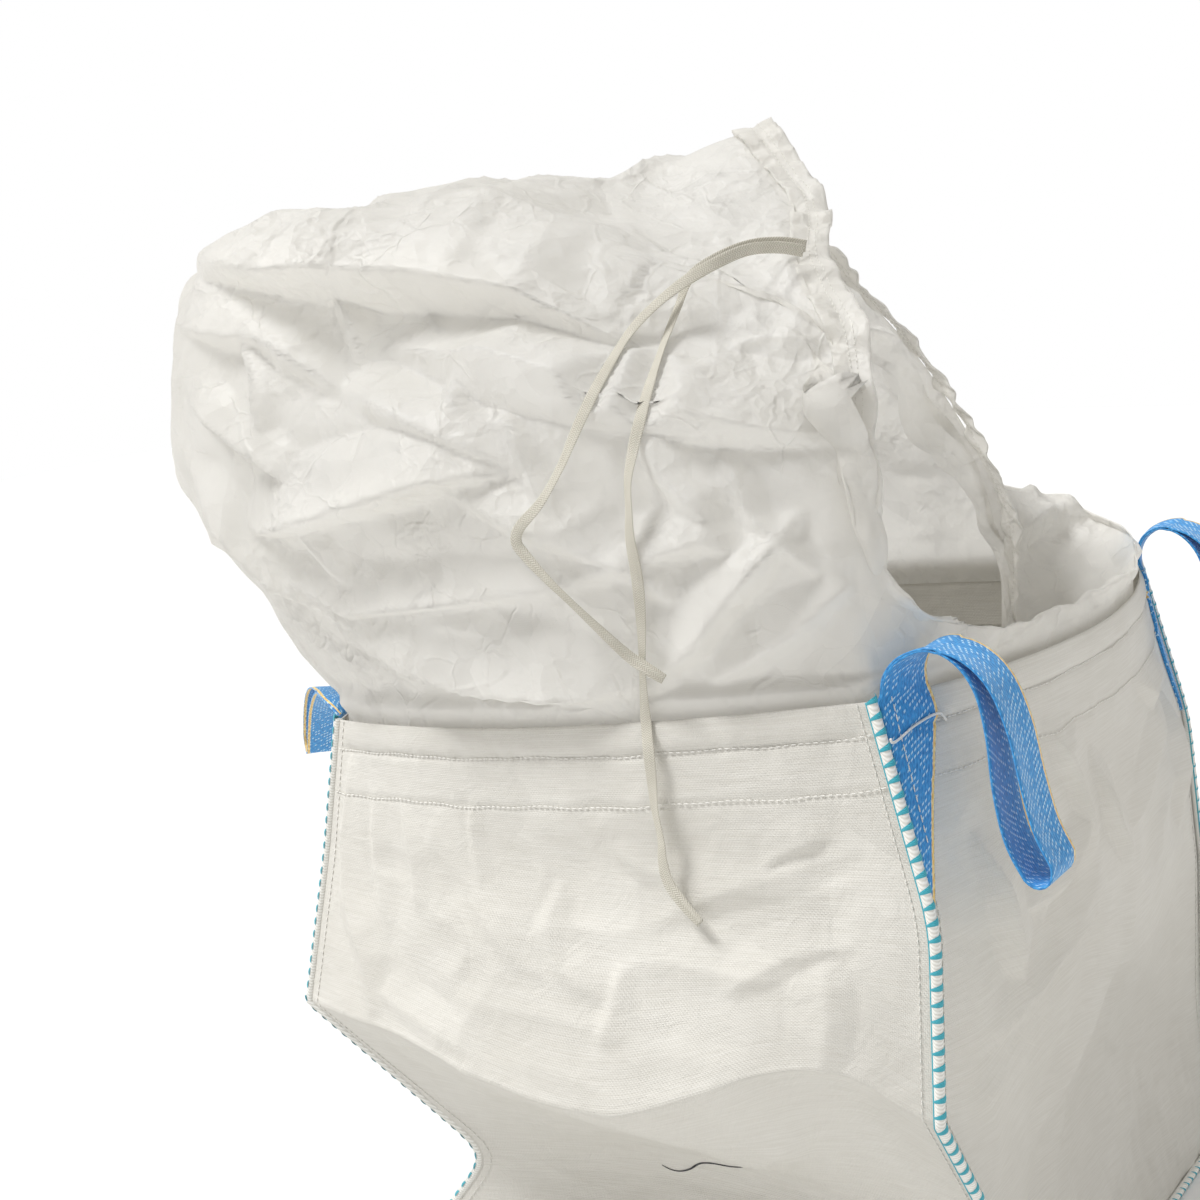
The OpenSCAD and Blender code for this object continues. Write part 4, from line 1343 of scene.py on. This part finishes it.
# Sharp folds across the skirt's front, like the panels' but shelves that are broad above.
SKIRT_RIDGES = [
    ([(-0.56, 1.36), (-0.36, 1.33), (-0.19, 1.31), (-0.06, 1.28), (0.04, 1.23), (0.16, 1.20)],
     0.046, 0.13, 0.028),
    ([(-0.22, 1.25), (-0.11, 1.22), (0.05, 1.18), (0.18, 1.15), (0.32, 1.13)], 0.034, 0.10, 0.024),
    ([(-0.36, 0.90), (-0.26, 0.89), (-0.12, 0.865), (0.02, 0.86), (0.14, 0.87)], 0.028, 0.08, 0.020),
    ([(-0.30, 1.32), (-0.27, 1.28), (-0.25, 1.24)], 0.012, 0.03, 0.02),
    ([(-0.28, 1.21), (-0.14, 1.16), (-0.03, 1.12), (0.01, 1.08)], 0.016, 0.06, 0.02),
    ([(-0.48, 1.02), (-0.26, 1.07), (-0.12, 1.10), (0.0, 1.11)], 0.030, 0.08, 0.024),
    ([(-0.57, 1.20), (-0.43, 1.14), (-0.28, 1.07)], 0.018, 0.05, 0.02),
    ([(-0.48, 0.99), (-0.30, 0.94), (-0.08, 0.97), (0.04, 0.98)], 0.018, 0.05, 0.02),
    ([(0.10, 0.87), (0.17, 0.92), (0.25, 1.01), (0.29, 1.06)], 0.020, 0.06, 0.022),
    ([(0.17, 0.87), (0.27, 0.93), (0.33, 0.98)], 0.014, 0.04, 0.02),
    ([(0.02, 0.98), (0.10, 1.01), (0.19, 1.03), (0.27, 1.00)], 0.014, 0.05, 0.02),
    ([(-0.58, 1.28), (-0.40, 1.26), (-0.26, 1.20)], 0.016, 0.05, 0.02),
    ([(-0.13, 1.10), (0.01, 1.04), (0.12, 1.00), (0.18, 0.94)], 0.016, 0.06, 0.022),
    ([(0.14, 1.21), (0.21, 1.23), (0.29, 1.23)], 0.012, 0.04, 0.02),
    ([(0.10, 1.18), (0.15, 1.10), (0.22, 1.02)], 0.013, 0.05, 0.02),
    ([(-0.41, 0.93), (-0.26, 0.91), (-0.13, 0.93), (-0.01, 0.91)], 0.012, 0.04, 0.018),
    ([(-0.60, 1.12), (-0.50, 1.02), (-0.42, 0.96), (-0.34, 0.92)], 0.020, 0.05, 0.022),
    ([(-0.38, 1.37), (-0.25, 1.36), (-0.13, 1.35), (0.02, 1.30)], 0.014, 0.05, 0.03),
    ([(-0.20, 1.31), (-0.12, 1.22), (-0.06, 1.13)], 0.012, 0.022, 0.016),
    ([(-0.05, 1.19), (0.0, 1.10), (0.06, 1.02)], 0.012, 0.024, 0.016),
    ([(-0.36, 1.10), (-0.33, 1.02), (-0.27, 0.95)], 0.012, 0.024, 0.016),
    ([(0.20, 1.13), (0.24, 1.05), (0.30, 0.99)], 0.012, 0.024, 0.016),
    ([(-0.16, 0.96), (-0.06, 0.91), (0.02, 0.88)], 0.010, 0.024, 0.014),
    ([(-0.46, 1.30), (-0.40, 1.21), (-0.38, 1.12)], 0.012, 0.026, 0.016),
]


def skirt_foot(count, lift):
    t = np.arange(count) / count * 4
    side = t.astype(int)
    s = mix(0.012, 0.988, t - side)
    foot = np.zeros((count, 3))
    for k in range(4):
        here = side == k
        line = level_line(k, s[here], TOP)
        ahead = level_line(k, s[here] + 0.01, TOP) - level_line(k, s[here] - 0.01, TOP)
        out = unit(np.stack([ahead[:, 1], -ahead[:, 0], 0 * ahead[:, 0]], axis=1))
        foot[here] = line - out * SKIRT_INSET
    foot[:, 2] += lift
    return foot


def skirt_surface():
    count = SKIRT_COLUMNS
    t = np.arange(count) / count * 16
    rings = [skirt_foot(count, 0.006)]
    rings += [through(np.array(r, float) * MM, t, closed=True) for r in SKIRT_RINGS]
    mouth = through(np.array(SKIRT_MOUTH, float) * MM, t, closed=True)
    stack = np.stack(rings)
    rows = [skirt_foot(count, -SKIRT_TUCK), skirt_foot(count, -SKIRT_TUCK / 2)]
    for i, steps in enumerate(SKIRT_ROWS_PER_RING):
        for k in range(steps):
            f = k / steps
            a, b = stack[max(i - 1, 0)], stack[i]
            c, d = stack[i + 1], stack[min(i + 2, len(stack) - 1)]
            rows.append(0.5 * (2 * b + (c - a) * f + (2 * a - 5 * b + 4 * c - d) * f ** 2
                               + (3 * b - a - 3 * c + d) * f ** 3))
    neck = stack[-1]
    back = round_average(unit(neck - mouth), 9)
    end = mouth + back * (SKIRT_HEM_WIDTH - 0.004)
    steps = 14
    rows += [mix(neck, end, k / steps) for k in range(steps + 1)]
    return np.stack(rows)


def skirt_grid():
    flat = skirt_surface()
    lift = ridge_lift(flat, SKIRT_RIDGES, (0, 2), (0, -1, 0), closed=True) * SKIRT_RIDGE_STRENGTH
    rows = len(flat)
    row = np.arange(rows)[:, None] + np.zeros(SKIRT_COLUMNS)[None, :]
    foot = 1 - smooth_step(3, 12, row)
    rim = smooth_step(rows - 12, rows - 2, row)
    free = (1 - foot) * (1 - rim)
    normals = grid_normals(flat, closed=True)
    facing = smooth_step(0.1, 0.7, -normals[..., 1]) * smooth_step(0.3, 1.0, free)
    lift = lift * smooth_step(0, 0.6, free)[..., None] - normals * (0.014 * facing)[..., None]
    plain = (1 - 0.75 * facing) * smooth_step(12, 50, row) * (1 - rim)
    crumple = 0.040 * creases(flat, 0.34, 51) + 0.018 * creases(flat, 0.15, 53) - 0.044
    lift = lift + normals * (crumple * plain)[..., None]
    shaped = flat + lift * 0.4
    slack_across = np.full(row.shape, 0.026)
    slack_up = np.full(row.shape, 0.022)
    hold = 0.008 + 0.4 * foot + 0.05 * rim
    cloth = buckle(shaped, slack_across, slack_up, hold, 0.25,
                   ((8, 160, 1.0), (4, 140, 0.6), (2, 90, 0.35), (1, 30, 0.15)),
                   True, 31, 0.012)
    cloth = shaped + (cloth - shaped) * smooth_step(0, 0.25, 1 - foot)[..., None] + lift * 0.6
    return give_way(cloth, normals, TAPE_LINES, TAPE_CLEARANCE)


SKIRT_CLOTH = skirt_grid()
skirt = cloth_piece("skirt_cloth", SKIRT_CLOTH, SKIRT, 0, closed=True)
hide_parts("skirt")
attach(skirt, "bag")


# ---------------------------------------------------------------- skirt hem band
def hem_band():
    """Doubled ruffled band round the mouth that hides the drawstring."""
    columns, rows = 960, 12
    t = np.arange(columns) / columns * 16
    mouth = through(np.array(SKIRT_MOUTH, float) * MM, t, closed=True)
    neck = through(np.array(SKIRT_RINGS[-1], float) * MM, t, closed=True)
    back = round_average(unit(neck - mouth), 18)
    run = unit(np.roll(mouth, -1, 0) - np.roll(mouth, 1, 0))
    normal = round_average(unit(np.cross(run, -back)), 6)
    w = np.linspace(0, 1, rows)[:, None]
    flat = (mouth + back * SKIRT_HEM_WIDTH)[None] * (1 - w)[..., None] + mouth[None] * w[..., None]
    wave = lattice_noise(mouth, 0.024, 5) + 0.6 * lattice_noise(mouth, 0.012, 6)
    middle = 1 - np.exp(-((w - 0.5) / 0.12) ** 2)
    spread = 0.35 + 0.65 * np.abs(w - 0.5) * 2
    lift = 0.0095 * wave[None, :] * spread * (0.35 + 0.65 * middle)
    lift += 0.0012 * middle
    edge = 0.007 * lattice_noise(mouth, 0.04, 8)[None, :] * w
    return flat + normal[None] * lift[..., None] - back[None] * edge[..., None], normal


BAND, BAND_NORMAL = hem_band()
band = cloth_piece("skirt_band", BAND, SKIRT, SKIRT_HEM_WALL, closed=True, offset=0)
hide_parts("skirt_hem")
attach(band, "bag")


# ---------------------------------------------------------------- stitching
def panel_row(side, down, start=0.012, end=0.988, count=260):
    s = np.linspace(start, end, count)
    wander = 0.0015 * np.sin(s * 23 + side) + 0.001 * np.sin(s * 61)
    return on_panel(side, s, down + wander, 0.0015)


def corner_row(side, at_start, inset, count=200):
    down = np.linspace(0.004, 0.85, count)
    length = side_length(side, 3)
    s = inset / length if at_start else 1 - inset / length
    return on_panel(side, np.full(count, s), down, 0.0008)


def stitching():
    hem_rows = [panel_row(side, HEM_FIRST_STITCH) for side in range(4)]
    hem_rows += [panel_row(side, HEM_SECOND_STITCH) for side in range(4)]
    seams = [corner_row(side, at_start, 0.015) for side in range(4) for at_start in (True, False)]
    pieces = {
        "stitching_hem": repeated("stitching_hem", hem_rows, LOCKSTITCH, WHITE_THREAD,
                                  {"Pitch": 0.0082, "Length": 0.0066, "Thickness": 0.0018}),
        "stitching_seams": repeated("stitching_seams", seams, LOCKSTITCH, WHITE_THREAD,
                                    {"Pitch": 0.0088, "Length": 0.0070, "Thickness": 0.0017}),
    }
    outer = BAND + BAND_NORMAL[None] * (SKIRT_HEM_WALL / 2 + 0.0004)
    inner = BAND - BAND_NORMAL[None] * (SKIRT_HEM_WALL / 2 + 0.0004)
    ring = lambda grid, r: np.concatenate([grid[r], grid[r][:1]])
    band_rows = [ring(outer, 5), ring(outer, 7), ring(inner, 5), ring(inner, 7)]
    pieces["stitching_band"] = repeated("stitching_band", band_rows, LOCKSTITCH, WHITE_THREAD,
                                        {"Pitch": 0.0068, "Length": 0.0050, "Thickness": 0.0011})
    for name, (side, at_start, *_) in LOOPS.items():
        down = np.linspace(0.002, 0.15, 60)
        reach = WEBBING_SETBACK + 0.016 - down * 0.02
        length = side_length(side, TOP)
        s = reach / length if at_start else 1 - reach / length
        path = on_panel(side, s, down, 0.0052)
        label = f"stitching_loop_{name}"
        pieces[label] = repeated(label, [path], LOCKSTITCH, WHITE_THREAD,
                                 {"Pitch": 0.0100, "Length": 0.0086, "Thickness": 0.0017})
    for piece in pieces.values():
        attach(piece, "bag")


stitching()


# ---------------------------------------------------------------- studio
def studio():
    data = bpy.data.meshes.new("floor")
    half = 9.0
    data.from_pydata([(-half, -half, 0), (half, -half, 0), (half, half, 0), (-half, half, 0)],
                     [], [(0, 1, 2, 3)])
    material, tree = new_material("floor_paint")
    place = tree.node("ShaderNodeTexCoord")[3]
    grain = tree.noise(place, 40.0, 3.0)
    colour = tree.mix_colour(grain, (0.80, 0.80, 0.795), (0.83, 0.83, 0.825))
    finish_material(tree, colour, 0.75, bumped(tree, grain, 0.0003), specular=0.2)
    floor = add_object("floor", data, material)
    world = bpy.data.worlds.new("studio")
    bpy.context.scene.world = world
    world.use_nodes = True
    world.node_tree.nodes.clear()
    air = Tree(world.node_tree)
    seen = air.node("ShaderNodeLightPath")[0]
    strength = 0.58 + seen * 0.42
    sky = air.mix_colour(seen, (1.0, 0.98, 0.95), (1.0, 1.0, 1.0))
    light = air.node("ShaderNodeBackground", {}, {0: sky, 1: strength})[0]
    air.node("ShaderNodeOutputWorld", {}, {0: light})
    for name, towards, strength, spread in (
        ("key", (0.44, 0.30, -0.85), 2.7, 16),
        ("rim", (-0.35, -0.75, -0.56), 0.3, 40),
    ):
        lamp = bpy.data.lights.new(name, "SUN")
        lamp.energy = strength
        lamp.angle = math.radians(spread)
        body = bpy.data.objects.new(name, lamp)
        body.rotation_euler = Vector(towards).to_track_quat("-Z", "Y").to_euler()
        bpy.context.scene.collection.objects.link(body)
    bpy.context.scene.view_settings.view_transform = "Standard"


studio()
